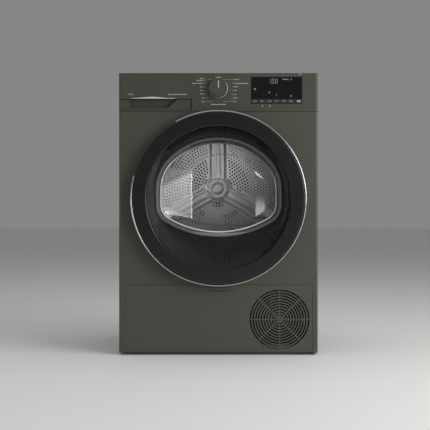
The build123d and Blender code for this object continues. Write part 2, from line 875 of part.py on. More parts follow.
def make_hinge_bracket():
    half = hinge_arm_height / 2
    y_plate = front - hinge_plate_thickness
    arm_half = hinge_pin_radius
    bracket = rod_z(hinge_x, hinge_y, hinge_eye_radius, door_z - half, door_z + half)
    bracket += block(hinge_x - arm_half, hinge_x + arm_half, hinge_y, front, door_z - half, door_z + half)
    bracket += block(hinge_x + arm_half - hinge_plate_width, hinge_x + arm_half, y_plate, front,
                     door_z - half, door_z + half)
    bore = hinge_pin_radius + running_clearance
    return bracket - rod_z(hinge_x, hinge_y, bore, door_z - half - 1, door_z + half + 1)


# ---- Door ----
def hinge_notch(x0, y0):
    half = hinge_notch_height / 2
    return block(x0, door_radius + 5, y0, front + 5, door_z - half, door_z + half)


def make_door_front_ring():
    outer = door_radius - door_trim_width - door_fit
    return tube_y(0, door_z, outer, door_ring_inner, door_front, door_front + door_ring_thickness)


def make_door_trim():
    inner = door_radius - door_trim_width
    y0 = door_front + door_trim_inset
    trim = tube_y(0, door_z, door_radius, inner, y0, y0 + door_trim_depth)
    trim -= wedge(grip_start, grip_end, 2 * door_radius, 0, door_z, y0 - 1, front)
    return trim - hinge_notch(hinge_x - 30, door_front + hinge_notch_front)


def make_door_funnel():
    y0 = door_front + door_ring_thickness
    y1 = door_front + funnel_end_depth
    wall = door_wall
    rim = rim_outline(door_ring_inner)
    outer = between(rim_outline(door_ring_inner + wall), y0, window_outline(1 + wall), y1)
    slope = (y1 - y0) / 20
    inner = between(rim, y0, window_outline(1), y1)
    inner += upright(rim, y0 - slope, y0)
    inner += window_prism(1, y1, y1 + slope)
    return outer - inner


def make_door_inner_frame():
    outer = door_radius - door_trim_width - door_fit
    y0 = door_front + door_ring_thickness
    wall = door_wall
    reach = 2 * door_radius
    skirt = tube_y(0, door_z, outer, outer - wall, y0, door_back)
    skirt -= wedge(grip_start, grip_end, reach, 0, door_z, y0 + grip_front - wall, door_back - wall)
    inner = outer - grip_depth
    grip = tube_y(0, door_z, inner, inner - wall, y0 + grip_front - wall, door_back)
    grip += tube_y(0, door_z, outer, inner - wall, y0 + grip_front - wall, y0 + grip_front)
    grip &= wedge(grip_start, grip_end, reach, 0, door_z, y0, front)
    ends = tube_y(0, door_z, outer, inner - wall, y0 + grip_front - wall, door_back)
    span = degrees(wall / outer)
    caps = ends & wedge(grip_start - span, grip_start, reach, 0, door_z, y0, front)
    caps += ends & wedge(grip_end, grip_end + span, reach, 0, door_z, y0, front)
    plate = rod_y(0, door_z, outer, door_back - wall, door_back)
    plate -= wedge(grip_start, grip_end, reach, 0, door_z, y0, front) - rod_y(0, door_z, inner, y0, front)
    plate -= window_prism(1, door_back - wall - 1, door_back + 1)
    frame = skirt + grip + caps + plate
    return frame - hinge_notch(hinge_x + hinge_pin_radius - hinge_plate_width - 3,
                               door_front + hinge_notch_front)


def make_window_frame():
    y0 = door_front + window_frame_front
    y1 = door_front + window_frame_back
    return window_ring(0.5, -window_frame_width, y0, y1)


def make_door_glass():
    y0 = door_front + window_frame_back + door_fit
    wall = glass_thickness
    inset = -window_frame_width - 2
    bowl = window_prism(glass_flange, y0, y0 + wall)
    bowl += between(window_outline(inset), y0 + wall, window_outline(inset - glass_taper), y0 + glass_depth)
    cavity = between(window_outline(inset - wall), y0, window_outline(inset - glass_taper - wall),
                     y0 + glass_depth - wall)
    return bowl - cavity


def make_door_seal():
    return window_ring(seal_outer, seal_inner, door_back, front - seal_gap)


def make_door_hinge():
    half = hinge_arm_height / 2
    arm_gap = 0.3
    inner_x = door_ring_inner + door_wall + hinge_leaf_gap
    leaf = rod_z(hinge_x, hinge_y, hinge_pin_radius, door_z - half - hinge_leaf_thickness,
                 door_z + half + hinge_leaf_thickness)
    for side in (-1, 1):
        z0 = door_z + side * (half + arm_gap)
        z1 = z0 + side * hinge_leaf_thickness
        low, high = min(z0, z1), max(z0, z1)
        leaf += block(inner_x, hinge_x, hinge_y - 3.8, hinge_y + 6, low, high)
        leaf += rod_z(hinge_x, hinge_y, hinge_eye_radius - 0.2, low, high)
    web_top = half + arm_gap + hinge_leaf_thickness
    leaf += block(inner_x, inner_x + 3, door_front + door_ring_thickness, door_back - door_wall,
                  door_z - web_top, door_z + web_top)
    return leaf


def make_door_hook():
    half_w = hook_width / 2
    half_h = hook_height / 2
    hook = block(catch_x - half_w, catch_x + half_w, door_back, door_back + hook_reach,
                 door_z - half_h, door_z + half_h)
    tip = hook.edges().filter_by(Axis.Z).group_by(Axis.Y)[-1]
    return fillet(tip, half_w - 1)


# ---- Drum ----
def make_drum_shell():
    shell = tube_y(0, drum_z, drum_radius, drum_radius - drum_sheet, drum_front, drum_back)
    return shell + tube_y(0, drum_z, drum_radius, drum_mouth_radius, drum_front, drum_front + drum_sheet)


def make_drum_rear_wall():
    y0 = drum_back - drum_sheet
    radius = drum_radius - drum_sheet
    wall = rod_y(0, drum_z, radius, y0, drum_back)
    pitch = (wall_slot_outer - wall_slot_inner) / wall_slot_rows
    for row in range(wall_slot_rows):
        inner = wall_slot_inner + pitch * (row + 0.5) - wall_slot_width / 2
        ring = tube_y(0, drum_z, inner + wall_slot_width, inner, y0 - 1, drum_back + 1)
        for sector in range(lifter_count):
            start = 90 + 360 / lifter_count * sector + 24
            span = 360 / lifter_count - 48
            wall -= ring & wedge(start, start + span, 2 * radius, 0, drum_z, y0 - 1, drum_back + 1)
    return wall


def make_lifters():
    y0 = drum_front + drum_sheet + lifter_start
    y1 = drum_back - drum_sheet - lifter_end
    radius = drum_radius - drum_sheet
    ridge = radius - lifter_height
    outline = Polyline((-lifter_base / 2, radius), (-lifter_ridge / 2, ridge), (lifter_ridge / 2, ridge),
                       (lifter_base / 2, radius), close=True)
    inside = Polyline((lifter_wall - lifter_base / 2, radius),
                      (lifter_wall - lifter_ridge / 2, ridge + lifter_wall),
                      (lifter_ridge / 2 - lifter_wall, ridge + lifter_wall),
                      (lifter_base / 2 - lifter_wall, radius), close=True)
    profile = fillet(make_face(outline).vertices().group_by(Axis.Y)[0], lifter_ridge / 3)
    lifters = []
    for turn in range(lifter_count):
        place = Pos(0, drum_z) * Rot(0, 0, 360 / lifter_count * turn)
        lifter = upright(place * profile, y0, y1) & rod_y(0, drum_z, radius, y0, y1)
        lifter -= upright(place * make_face(inside), y0 + lifter_wall, y1 + 1)
        lifters.append(lifter.solid())
    return Compound(children=lifters)


def make_hub_cap():
    y1 = drum_back - drum_sheet
    cap = rod_y(0, drum_z, hub_radius, y1 - hub_depth, y1)
    cap = fillet(cap.edges().group_by(Axis.Y)[0], hub_depth - 1)
    return cap + rod_y(0, drum_z, hub_radius / 2, y1 - hub_depth - hub_boss, y1 - hub_depth)


def make_drum_shaft():
    flange_back = drum_back + shaft_flange_thickness
    shaft = rod_y(0, drum_z, shaft_flange_radius, drum_back, flange_back)
    shaft += rod_y(0, drum_z, 1.5 * shaft_radius, flange_back, flange_back + shaft_collar)
    return shaft + rod_y(0, drum_z, shaft_radius, flange_back, flange_back + shaft_length)


def make_rear_bearing():
    y0 = drum_back + shaft_flange_thickness + bearing_gap
    bore = shaft_radius + running_clearance
    bush = rod_y(0, drum_z, bearing_radius, y0, rear_inner)
    bush += rod_y(0, drum_z, bearing_flange, rear_inner - bearing_flange_depth, rear_inner)
    return bush - rod_y(0, drum_z, bore, y0 - 1, rear_inner + 1)


# ---- Flap ----
def grille_cuts(y0, y1):
    pitch = grille_radius / grille_rings
    cuts = []
    for ring in range(grille_rings):
        outer = pitch * (ring + 1) - 0.5
        cuts.append(tube_y(grille_x, grille_z, outer, outer - grille_slot, y0, y1))
    bars = None
    for turn in range(grille_bridges // 2):
        bar = Pos(grille_x, (y0 + y1) / 2, grille_z) * Rot(0, 360 / grille_bridges * turn, 0) * Box(
            2 * grille_radius + 2, y1 - y0 + 2, grille_bridge)
        bars = bar if bars is None else bars + bar
    return Compound(children=cuts) - bars


def make_flap():
    half = flap_width / 2
    body = block(-half, half, front, front + flap_return, flap_bottom, flap_top)
    corners = body.edges().filter_by(Axis.Y).group_by(Axis.Z)[-1]
    body = fillet(corners, flap_corner)
    inner = block(-half + flap_sheet, half - flap_sheet, front + flap_sheet, back, flap_bottom - 1,
                  flap_top - flap_sheet)
    inner = fillet(inner.edges().filter_by(Axis.Y).group_by(Axis.Z)[-1], flap_corner - flap_sheet)
    body -= inner
    button_half = button_width / 2 + button_gap
    body -= block(-button_half, button_half, front - 1, front + flap_sheet + 1,
                  button_bottom - button_gap, button_top + button_gap)
    body -= block(-half - 1, half + 1, flap_hinge_y + 1, back, 0, flap_hinge_z + 10)
    for side in (-1, 1):
        x0 = side * flap_lug_x - flap_lug_width / 2
        x1 = x0 + flap_lug_width
        lug = rod_x(flap_hinge_y, flap_hinge_z, flap_hinge_setback - 0.5, x0, x1)
        lug += block(x0, x1, front + flap_sheet, flap_hinge_y + 2, flap_hinge_z, flap_hinge_z + 12)
        body += lug
        body -= rod_x(flap_hinge_y, flap_hinge_z, flap_pin_radius + running_clearance, x0 - 3, x1 + 3)
    return body - grille_cuts(front - 1, front + flap_sheet + 1)


def make_flap_button():
    half = button_width / 2
    y0 = front - button_proud
    body = block(-half, half, y0, front + flap_sheet + 4, button_bottom, button_top)
    y1 = front + flap_sheet + 0.3
    body += block(-half - 4, half + 4, y1, y1 + 2, button_bottom - 4, button_top + 3)
    return body


# ---- Base and machinery ----
def foot_places():
    return [(s * foot_x, y) for y in (foot_front, foot_back) for s in (-1, 1)]


def make_foot(place):
    x, y = place
    foot = rod_z(x, y, foot_radius, 0, foot_height)
    return foot + rod_z(x, y, foot_stud_radius, foot_height, foot_boss_top - 2)


def make_base_tray():
    half = base_half_width
    wall = base_wall
    y1 = rear_inner
    tray = block(-half, half, base_front, y1, base_bottom, base_top)
    tray -= block(-half + wall, half - wall, base_front + wall, y1 - wall, floor_top, base_top + 1)
    tray -= block(-half - 1, half + 1, base_front - 1, base_front + wall + 0.5, base_front_top, base_top + 1)
    for x in (channel_left, channel_right - moulded_wall):
        tray += block(x, x + moulded_wall, channel_front, channel_back, floor_top, base_top)
    tray += block(channel_left, channel_right, channel_front, channel_front + moulded_wall,
                  floor_top, base_top)
    pocket = foot_radius + foot_pocket_play
    for x, y in foot_places():
        tray += rod_z(x, y, foot_boss_radius, base_bottom, foot_boss_top)
        tray += rod_z(x, y, pocket + wall, base_bottom, foot_height + wall)
        tray -= rod_z(x, y, pocket, base_bottom - 1, foot_height)
        tray -= rod_z(x, y, foot_stud_radius + running_clearance, 0, foot_boss_top + 1)
    tray -= rod_y(motor_x, motor_z, scroll_radius + panel_gap, y1 - wall - 1, y1 + 1)
    lug_inner = flap_lug_x - flap_lug_width / 2
    nose = flap_hinge_setback - flap_sheet - 0.5
    for side in (-1, 1):
        x0, x1 = sorted((side * (lug_inner - 6.5), side * (lug_inner - 0.5)))
        tray += block(x0, x1, flap_hinge_y, base_front, flap_hinge_z - 2.5, flap_hinge_z + 2.5)
        tray += rod_x(flap_hinge_y, flap_hinge_z, nose, x0, x1)
        p0, p1 = sorted((side * (lug_inner - 1), side * (lug_inner + flap_lug_width + 1)))
        tray += rod_x(flap_hinge_y, flap_hinge_z, flap_pin_radius, p0, p1)
    half_post = idler_post_half
    tray += block(idler_pivot_x - half_post, idler_pivot_x + half_post, idler_post_front,
                  idler_post_front + idler_post_depth, floor_top, idler_pivot_z + half_post + 1)
    tray += rod_y(idler_pivot_x, idler_pivot_z, idler_pin_radius, idler_width / 2, idler_post_front)
    return tray


def make_exchanger(y0, length, rows):
    x0 = channel_left + moulded_wall + exchanger_inset
    x1 = channel_right - moulded_wall - exchanger_inset
    plate = exchanger_plate
    half_fin = exchanger_fin / 2
    top = floor_top + exchanger_height
    core = block(x0, x0 + plate, y0, y0 + length, floor_top, top)
    core += block(x1 - plate, x1, y0, y0 + length, floor_top, top)
    for i in range(1, exchanger_fins):
        x = x0 + (x1 - x0) * i / exchanger_fins
        core += block(x - half_fin, x + half_fin, y0, y0 + length,
                      floor_top + exchanger_fin_play, top - exchanger_fin_play)
    for row in range(rows):
        y = y0 + length * (row + 0.5) / rows
        for level in range(exchanger_levels):
            z = floor_top + exchanger_height * (level + 0.5) / exchanger_levels
            core += rod_x(y, z, exchanger_tube_radius, x0 - exchanger_tube_end, x1 + exchanger_tube_end)
    return core


def make_exchanger_cover():
    wall = moulded_wall
    body = block(channel_left, channel_right, channel_front, channel_back, base_top, channel_top)
    body -= block(channel_left + wall, channel_right - wall, channel_front + wall, channel_back + 1,
                  base_top - 1, channel_top - wall)
    return body - block(duct_exit_left + wall, duct_exit_right - wall, duct_front + wall, duct_back - wall,
                        channel_top - wall - 1, channel_top + 1)


def make_blower_housing():
    wall = moulded_wall
    y0 = channel_back
    y1 = y0 + chamber_depth
    x1 = motor_x + scroll_radius - scroll_overhang
    chamber = shell_box(channel_left, x1, y0, y1, floor_top, channel_top, wall)
    chamber -= block(channel_left + wall, channel_right - wall, y0 - 1, y0 + wall + 1,
                     floor_top + wall, channel_top - wall)
    scroll = rod_y(motor_x, motor_z, scroll_radius, y1 - wall, rear_inner)
    scroll -= rod_y(motor_x, motor_z, scroll_radius - wall, y1, rear_inner + 1)
    body = chamber + scroll
    body -= rod_y(motor_x, motor_z, blower_inlet_radius, y1 - wall - 1, y1 + 1)
    body -= block(channel_left + wall, x1 - wall, y0 + wall, y1 - wall, floor_top + wall, channel_top - wall)
    body -= rod_y(motor_x, motor_z, motor_shaft_radius + 1, y0 - 1, y0 + wall + 1)
    return body


def make_motor_body():
    y1 = motor_front + motor_length
    end = motor_shoulder_depth
    half = motor_foot_half
    inner = half - motor_foot_wall
    inset = motor_foot_inset
    body = rod_y(motor_x, motor_z, motor_radius, motor_front + end, y1 - end)
    body += rod_y(motor_x, motor_z, motor_radius - motor_shoulder, motor_front, y1)
    body += block(motor_x - half, motor_x + half, motor_front + inset, y1 - inset, floor_top, motor_z)
    body -= block(motor_x - inner, motor_x + inner, motor_front + inset - 1, y1 - inset + 1,
                  floor_top + motor_foot_plate, motor_z - motor_radius)
    return body - rod_y(motor_x, motor_z, motor_shaft_radius + running_clearance, motor_front - 1, y1 + 1)


def make_motor_rotor():
    shaft = rod_y(motor_x, motor_z, motor_shaft_radius, -pulley_width / 2 - 2, blower_front + blower_width)
    return shaft + rod_y(motor_x, motor_z, pulley_radius, -pulley_width / 2, pulley_width / 2)


def make_blower_wheel():
    y0 = blower_front
    y1 = y0 + blower_width
    wheel = rod_y(motor_x, motor_z, blower_radius, y1 - blower_disc, y1)
    wheel += rod_y(motor_x, motor_z, blower_hub_radius, y0 + blower_hub_setback, y1)
    wheel += tube_y(motor_x, motor_z, blower_radius, blower_radius - blower_band, y0, y0 + blower_disc)
    reach = blower_radius - (blade_depth + blade_thickness) / 2
    for i in range(blower_blades):
        vane = Box(blade_depth, blower_width - blower_disc, blade_thickness)
        blade = Pos(reach, 0, 0) * Rot(0, 24, 0) * vane
        turned = Rot(0, 360 / blower_blades * i, 0) * blade
        wheel += Pos(motor_x, (y0 + y1) / 2, motor_z) * turned
    return wheel - rod_y(motor_x, motor_z, motor_shaft_radius, y0 - 1, y1 + 1)


def belt_tangent():
    """Unit direction of the belt's right-hand run, from the pulley up to the drum."""
    away = hypot(motor_x, drum_z - motor_z)
    lean = degrees(asin((drum_radius - pulley_radius) / away))
    heading = degrees(atan2(drum_z - motor_z, -motor_x)) - lean
    return heading


def belt_loop(grow):
    drum = Pos(0, drum_z) * Circle(drum_radius + grow)
    pulley = Pos(motor_x, motor_z) * Circle(pulley_radius + grow)
    return make_hull((drum + pulley).edges())


def make_belt():
    half = belt_width / 2
    outer = upright(belt_loop(belt_gap + belt_thickness), -half, half)
    return outer - upright(belt_loop(belt_gap), -half - 1, half + 1)


def idler_centre():
    heading = belt_tangent()
    touch_x, touch_z = polar(pulley_radius, heading - 90, motor_x, motor_z)
    x, z = polar(idler_along, heading, touch_x, touch_z)
    return polar(belt_gap + belt_thickness + felt_gap + idler_radius, heading - 90, x, z)


def make_idler_pulley():
    x, z = idler_centre()
    return tube_y(x, z, idler_radius, idler_pin_radius + running_clearance,
                  -idler_width / 2 - idler_pin_end / 2, idler_width / 2 - idler_pin_end / 2)


def make_idler_arm():
    x, z = idler_centre()
    y0 = (idler_width - idler_pin_end) / 2 + idler_arm_gap
    y1 = y0 + idler_arm_thickness
    reach = hypot(x - idler_pivot_x, z - idler_pivot_z)
    tilt = degrees(atan2(x - idler_pivot_x, z - idler_pivot_z))
    middle = Pos((x + idler_pivot_x) / 2, (y0 + y1) / 2, (z + idler_pivot_z) / 2)
    arm = middle * Rot(0, tilt, 0) * Box(idler_arm_width, y1 - y0, reach)
    arm += rod_y(idler_pivot_x, idler_pivot_z, idler_arm_hub, y0, y1) + rod_y(x, z, idler_arm_eye, y0, y1)
    arm += rod_y(x, z, idler_pin_radius, -(idler_width + 3 * idler_pin_end) / 2, y0)
    return arm - rod_y(idler_pivot_x, idler_pivot_z, idler_pin_radius + running_clearance, y0 - 1, y1 + 1)


def make_compressor():
    x, y, r = compressor_x, compressor_y, compressor_radius
    top = floor_top + compressor_height
    plate_z = floor_top + compressor_foot_height
    body = rod_z(x, y, r, plate_z + compressor_plate, top)
    body = fillet(body.edges().group_by(Axis.Z)[-1], compressor_round)
    half = 0.9 * r
    body += block(x - half, x + half, y - half, y + half, plate_z, plate_z + compressor_plate)
    for sx in (-1, 1):
        for sy in (-1, 1):
            foot_place = (x + sx * 0.72 * r, y + sy * 0.72 * r)
            body += rod_z(*foot_place, 0.15 * r, floor_top, plate_z)
    return body + rod_z(x - r / 3, y + r / 2, compressor_pipe_radius, top - r / 2, top + compressor_pipe_rise)


def make_fan_shroud():
    y0 = shroud_front
    y1 = y0 + shroud_depth
    half = fan_radius + shroud_room
    inner = fan_radius + shroud_play
    wall = shroud_wall
    plate = block(grille_x - half, grille_x + half, y1 - wall, y1, floor_top, grille_z + half)
    plate -= rod_y(grille_x, grille_z, inner, y1 - wall - 1, y1 + 1)
    body = plate + tube_y(grille_x, grille_z, inner + wall, inner, y0, y1)
    motor_y = fan_front + fan_width + 2
    bar_size = (2 * inner + wall, shroud_bar_depth, shroud_bar_width)
    for turn in (45, 135):
        body += Pos(grille_x, motor_y + shroud_bar_depth, grille_z) * Rot(0, turn, 0) * Box(*bar_size)
    body += rod_y(grille_x, grille_z, fan_motor_radius, motor_y, motor_y + fan_motor_depth)
    body += rod_y(grille_x, grille_z, fan_pin_radius, fan_front + fan_pin_radius, motor_y)
    for side in (-1, 1):
        x = grille_x + side * shroud_foot_x
        body += block(x - shroud_foot_half, x + shroud_foot_half, y1 - 2 * shroud_foot_half, y1,
                      floor_top, floor_top + shroud_foot_half)
    return body


def make_cooling_fan():
    y0 = fan_front
    y1 = y0 + fan_width
    fan = rod_y(grille_x, grille_z, fan_hub_radius, y0, y1)
    length = fan_radius - fan_hub_radius
    for i in range(fan_blades):
        blade = Pos(fan_hub_radius + length / 2 - 1, 0, 0) * Rot(28, 0, 0) * Box(length, 2, fan_blade_chord)
        fan += Pos(grille_x, (y0 + y1) / 2, grille_z) * Rot(0, 360 / fan_blades * i, 0) * blade
    bore = fan_pin_radius + running_clearance
    return fan - rod_y(grille_x, grille_z, bore, y0 + 0.8 * fan_pin_radius, y1 + 1)


def make_drain_pump():
    x, y = pump_x, pump_y
    top = floor_top + pump_height
    body = rod_z(x, y, pump_radius, floor_top, top - pump_neck)
    body += rod_z(x, y, pump_radius + pump_flange, floor_top, floor_top + pump_flange_height)
    return body + rod_z(x, y, hose_radius, top - pump_neck, top)


def make_pump_hose():
    start = floor_top + pump_height
    tank_back = drawer_back + tank_length + tank_end_room
    points = [(pump_x, pump_y, start), (pump_x, pump_y, hose_low_z), (hose_x, pump_y, hose_bend_z),
              (hose_x, pump_y, hose_z), (hose_x, tank_back, hose_z)]
    path = FilletPolyline(*points, radius=hose_bend)
    ring = Circle(hose_radius) - Circle(hose_radius - hose_wall)
    return sweep(Plane(points[0], z_dir=(0, 0, 1)) * ring, path=path)


def make_mains_inlet():
    y0 = rear_inner - gland_nut_depth - gland_nut_gap
    y1 = back + gland_nose
    gland = rod_y(inlet_x, inlet_z, inlet_radius, y0, y1)
    gland += rod_y(inlet_x, inlet_z, inlet_radius + gland_flange, back, back + gland_flange_depth)
    gland += rod_y(inlet_x, inlet_z, inlet_radius + gland_nut, rear_inner - gland_nut_depth, rear_inner)
    return gland - rod_y(inlet_x, inlet_z, gland_bore_radius, y0 - 1, y1 + 1)


PIECES = {
    "base_tray": make_base_tray,
    "side_panel_left": lambda: make_side_panel(-1),
    "side_panel_right": lambda: make_side_panel(1),
    "front_panel": make_front_panel,
    "worktop": make_worktop,
    "rear_panel": make_rear_panel,
    "rear_duct_cover": make_rear_duct_cover,
    "cabinet_screws": make_screws,
    "control_fascia": make_fascia,
    "display_window": make_display_window,
    "control_board": make_control_board,
    "dial_ring": make_dial_ring,
    "program_knob": make_knob,
    "tank_drawer_front": make_drawer_front,
    "water_tank": make_water_tank,
    "tank_housing": make_tank_housing,
    "front_bulkhead": make_bulkhead,
    "roller_left": lambda: make_roller(-1),
    "roller_right": lambda: make_roller(1),
    "drum_felt_seals": make_felt_seals,
    "lint_filter": make_lint_filter,
    "door_catch": make_door_catch,
    "hinge_bracket": make_hinge_bracket,
    "door_front_ring": make_door_front_ring,
    "door_trim_ring": make_door_trim,
    "door_funnel": make_door_funnel,
    "door_inner_frame": make_door_inner_frame,
    "window_frame": make_window_frame,
    "door_glass": make_door_glass,
    "door_seal": make_door_seal,
    "door_hinge_leaf": make_door_hinge,
    "door_hook": make_door_hook,
    "drum_shell": make_drum_shell,
    "drum_rear_wall": make_drum_rear_wall,
    "drum_lifters": make_lifters,
    "hub_cap": make_hub_cap,
    "drum_shaft": make_drum_shaft,
    "rear_bearing": make_rear_bearing,
    "service_flap": make_flap,
    "flap_button": make_flap_button,
    "evaporator": lambda: make_exchanger(evaporator_front, evaporator_length, 3),
    "condenser": lambda: make_exchanger(condenser_front, condenser_length, 5),
    "heat_exchanger_cover": make_exchanger_cover,
    "blower_housing": make_blower_housing,
    "motor_body": make_motor_body,
    "motor_rotor": make_motor_rotor,
    "blower_wheel": make_blower_wheel,
    "drive_belt": make_belt,
    "idler_pulley": make_idler_pulley,
    "idler_arm": make_idler_arm,
    "compressor": make_compressor,
    "fan_shroud": make_fan_shroud,
    "cooling_fan": make_cooling_fan,
    "drain_pump": make_drain_pump,
    "pump_hose": make_pump_hose,
    "mains_inlet": make_mains_inlet,
}
for index, place in enumerate(foot_places()):
    PIECES["foot_" + ("front_left", "front_right", "rear_left", "rear_right")[index]] = (
        lambda place=place: make_foot(place))

os.makedirs("parts", exist_ok=True)
for name, make in PIECES.items():
    export_step(make(), f"parts/{name}.step")
    print(name)
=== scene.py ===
import json
import math

import bmesh
import bpy
from mathutils import Matrix, Vector
from mathutils.bvhtree import BVHTree


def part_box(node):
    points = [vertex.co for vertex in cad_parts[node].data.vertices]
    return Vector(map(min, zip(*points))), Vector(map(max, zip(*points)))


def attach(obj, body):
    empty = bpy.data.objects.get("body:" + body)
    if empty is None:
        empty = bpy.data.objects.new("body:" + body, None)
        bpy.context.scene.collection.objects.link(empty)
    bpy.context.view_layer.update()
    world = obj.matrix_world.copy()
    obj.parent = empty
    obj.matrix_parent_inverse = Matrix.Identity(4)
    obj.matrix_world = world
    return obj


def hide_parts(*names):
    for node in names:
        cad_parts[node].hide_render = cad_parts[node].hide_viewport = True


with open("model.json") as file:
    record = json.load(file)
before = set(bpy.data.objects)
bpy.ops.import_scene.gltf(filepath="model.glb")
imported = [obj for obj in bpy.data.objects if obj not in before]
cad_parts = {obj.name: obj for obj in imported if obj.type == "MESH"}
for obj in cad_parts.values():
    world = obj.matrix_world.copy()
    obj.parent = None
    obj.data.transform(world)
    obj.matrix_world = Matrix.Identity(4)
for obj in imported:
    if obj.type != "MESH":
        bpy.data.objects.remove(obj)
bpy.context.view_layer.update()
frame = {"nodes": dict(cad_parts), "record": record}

nodes = frame["nodes"]
bodyOf = {node: body for body, members in frame["record"]["behaviour"]["bodies"].items() for node in members}
slotOf = {part["node"]: part["material_slot"] for part in frame["record"]["subparts"]}


def boxOf(name):
    low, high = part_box(name)
    return Vector(low), Vector(high)


ringLow, ringHigh = boxOf("door_front_ring")
wallLow, wallHigh = boxOf("drum_rear_wall")
panelLow, panelHigh = boxOf("front_panel")
knobLow, knobHigh = boxOf("program_knob")
displayLow, displayHigh = boxOf("display_window")
doorZ = (ringLow.z + ringHigh.z) / 2
drumZ = (wallLow.z + wallHigh.z) / 2
doorFront = ringLow.y
panelFront = panelLow.y
fasciaFront = boxOf("control_fascia")[0].y
knobZ = (knobLow.z + knobHigh.z) / 2


# building blocks

def linear(red, green, blue):
    def one(value):
        value /= 255
        return value / 12.92 if value <= 0.04045 else ((value + 0.055) / 1.055) ** 2.4
    return (one(red), one(green), one(blue), 1.0)


def pieceFromMesh(name, mesh):
    piece = bpy.data.objects.new(name, mesh)
    bpy.context.scene.collection.objects.link(piece)
    return piece


def pieceFrom(name, points, faces, smooth=True):
    mesh = bpy.data.meshes.new(name)
    mesh.from_pydata([tuple(p) for p in points], [], faces)
    mesh.validate()
    mesh.update()
    if smooth:
        mesh.shade_smooth()
    return pieceFromMesh(name, mesh)


mergeGap = 1e-6   # points closer than this are one point


def outward(piece):
    bm = bmesh.new()
    bm.from_mesh(piece.data)
    bmesh.ops.remove_doubles(bm, verts=bm.verts, dist=mergeGap)
    bmesh.ops.recalc_face_normals(bm, faces=bm.faces)
    bm.to_mesh(piece.data)
    bm.free()
    return piece


def applied(piece):
    bpy.context.view_layer.update()
    graph = bpy.context.evaluated_depsgraph_get()
    mesh = bpy.data.meshes.new_from_object(piece.evaluated_get(graph))
    piece.modifiers.clear()
    piece.data = mesh
    return piece


def smoothByAngle(piece, degrees):
    mesh = piece.data
    mesh.shade_smooth()
    bm = bmesh.new()
    bm.from_mesh(mesh)
    for edge in bm.edges:
        edge.smooth = len(edge.link_faces) == 2 and edge.calc_face_angle(0) < math.radians(degrees)
    bm.to_mesh(mesh)
    bm.free()
    return piece


def walled(piece, thickness, merge=0.0):
    # the skin's normals turned to the front, then a wall behind it
    bm = bmesh.new()
    bm.from_mesh(piece.data)
    if merge:
        bmesh.ops.remove_doubles(bm, verts=bm.verts, dist=merge)
    bmesh.ops.recalc_face_normals(bm, faces=bm.faces)
    if sum((face.normal * face.calc_area() for face in bm.faces), Vector()).y > 0:
        bmesh.ops.reverse_faces(bm, faces=bm.faces)
    bm.to_mesh(piece.data)
    bm.free()
    wall = piece.modifiers.new("Wall", "SOLIDIFY")
    wall.thickness = thickness
    wall.offset = -1
    return applied(piece)


def smoothStep(edge0, edge1, value):
    t = min(1.0, max(0.0, (value - edge0) / (edge1 - edge0)))
    return t * t * (3 - 2 * t)


def loop(count):
    return [(i, (i + 1) % count) for i in range(count)]


def skin(rings, closedPath=False):
    # quads between successive rings of equal length
    count = len(rings[0])
    points = [p for ring in rings for p in ring]
    faces = []
    for r in range(len(rings) if closedPath else len(rings) - 1):
        near, far = r * count, (r + 1) % len(rings) * count
        faces += [(near + a, near + b, far + b, far + a) for a, b in loop(count)]
    return points, faces


def cappedSkin(rings):
    # a skin with a flat face on its first ring and on its last
    points, faces = skin(rings)
    count = len(rings[0])
    return points, faces + [tuple(range(count)), tuple(range(len(points) - 1, len(points) - count - 1, -1))]


def arcPoints(centre, radius, start, sweep, count):
    turns = [start + sweep * i / count for i in range(count)]
    return [(centre[0] + radius * math.cos(a), centre[1] + radius * math.sin(a)) for a in turns]


def circle(x, z, radius, count):
    return arcPoints((x, z), radius, 0, 2 * math.pi, count)


def quarter(steps, first=0):
    # angles from a right angle's start to its end
    return [math.pi / 2 * i / steps for i in range(first, steps + 1)]


def ringAt(outline, y):
    return [(x, y, z) for x, z in outline]


def mixOutlines(first, second, t):
    return [(a[0] + (b[0] - a[0]) * t, a[1] + (b[1] - a[1]) * t) for a, b in zip(first, second)]


def settle(piece, body, material, replaced=()):
    piece.data.materials.clear()
    piece.data.materials.append(material)
    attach(piece, body)
    if replaced:
        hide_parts(*replaced)
    return piece


easedSizes = {"segments": 2, "angle": 40, "merge": 2e-6, "flatWithin": 1.0, "smoothBelow": 22,
              "broadFace": 0.0001}   # faces of at least this area, in square metres, stay flat


def easedCopy(name, width, segments=easedSizes["segments"], angle=easedSizes["angle"]):
    # the CAD shape with its sharp edges broken, which stands for the CAD node
    size = easedSizes
    piece = pieceFromMesh(name + "Eased", nodes[name].data.copy())
    loadedNormals = piece.data.attributes.get("custom_normal")
    if loadedNormals:
        piece.data.attributes.remove(loadedNormals)
    bm = bmesh.new()
    bm.from_mesh(piece.data)
    bmesh.ops.remove_doubles(bm, verts=bm.verts, dist=size["merge"])
    bmesh.ops.dissolve_limit(bm, angle_limit=math.radians(size["flatWithin"]), verts=bm.verts, edges=bm.edges)
    bm.to_mesh(piece.data)
    bm.free()
    bevel = piece.modifiers.new("Edge", "BEVEL")
    bevel.width = width
    bevel.segments = segments
    bevel.limit_method = "ANGLE"
    bevel.angle_limit = math.radians(angle)
    bevel.use_clamp_overlap = True
    bevel.harden_normals = False
    smoothByAngle(applied(piece), size["smoothBelow"])
    for face in piece.data.polygons:
        face.use_smooth = face.area < size["broadFace"]
    return settle(piece, bodyOf[name], finishes[slotOf[name]], [name])


# shader groups

def wire(tree, made, inputs):
    # each input is set to a value or linked to a socket
    for label, value in inputs.items():
        if isinstance(value, bpy.types.NodeSocket):
            tree.links.new(value, made.inputs[label])
        else:
            made.inputs[label].default_value = value


def node(tree, kind, inputs=None, **settings):
    made = tree.nodes.new(kind)
    for key, value in settings.items():
        setattr(made, key, value)
    wire(tree, made, inputs or {})
    return made


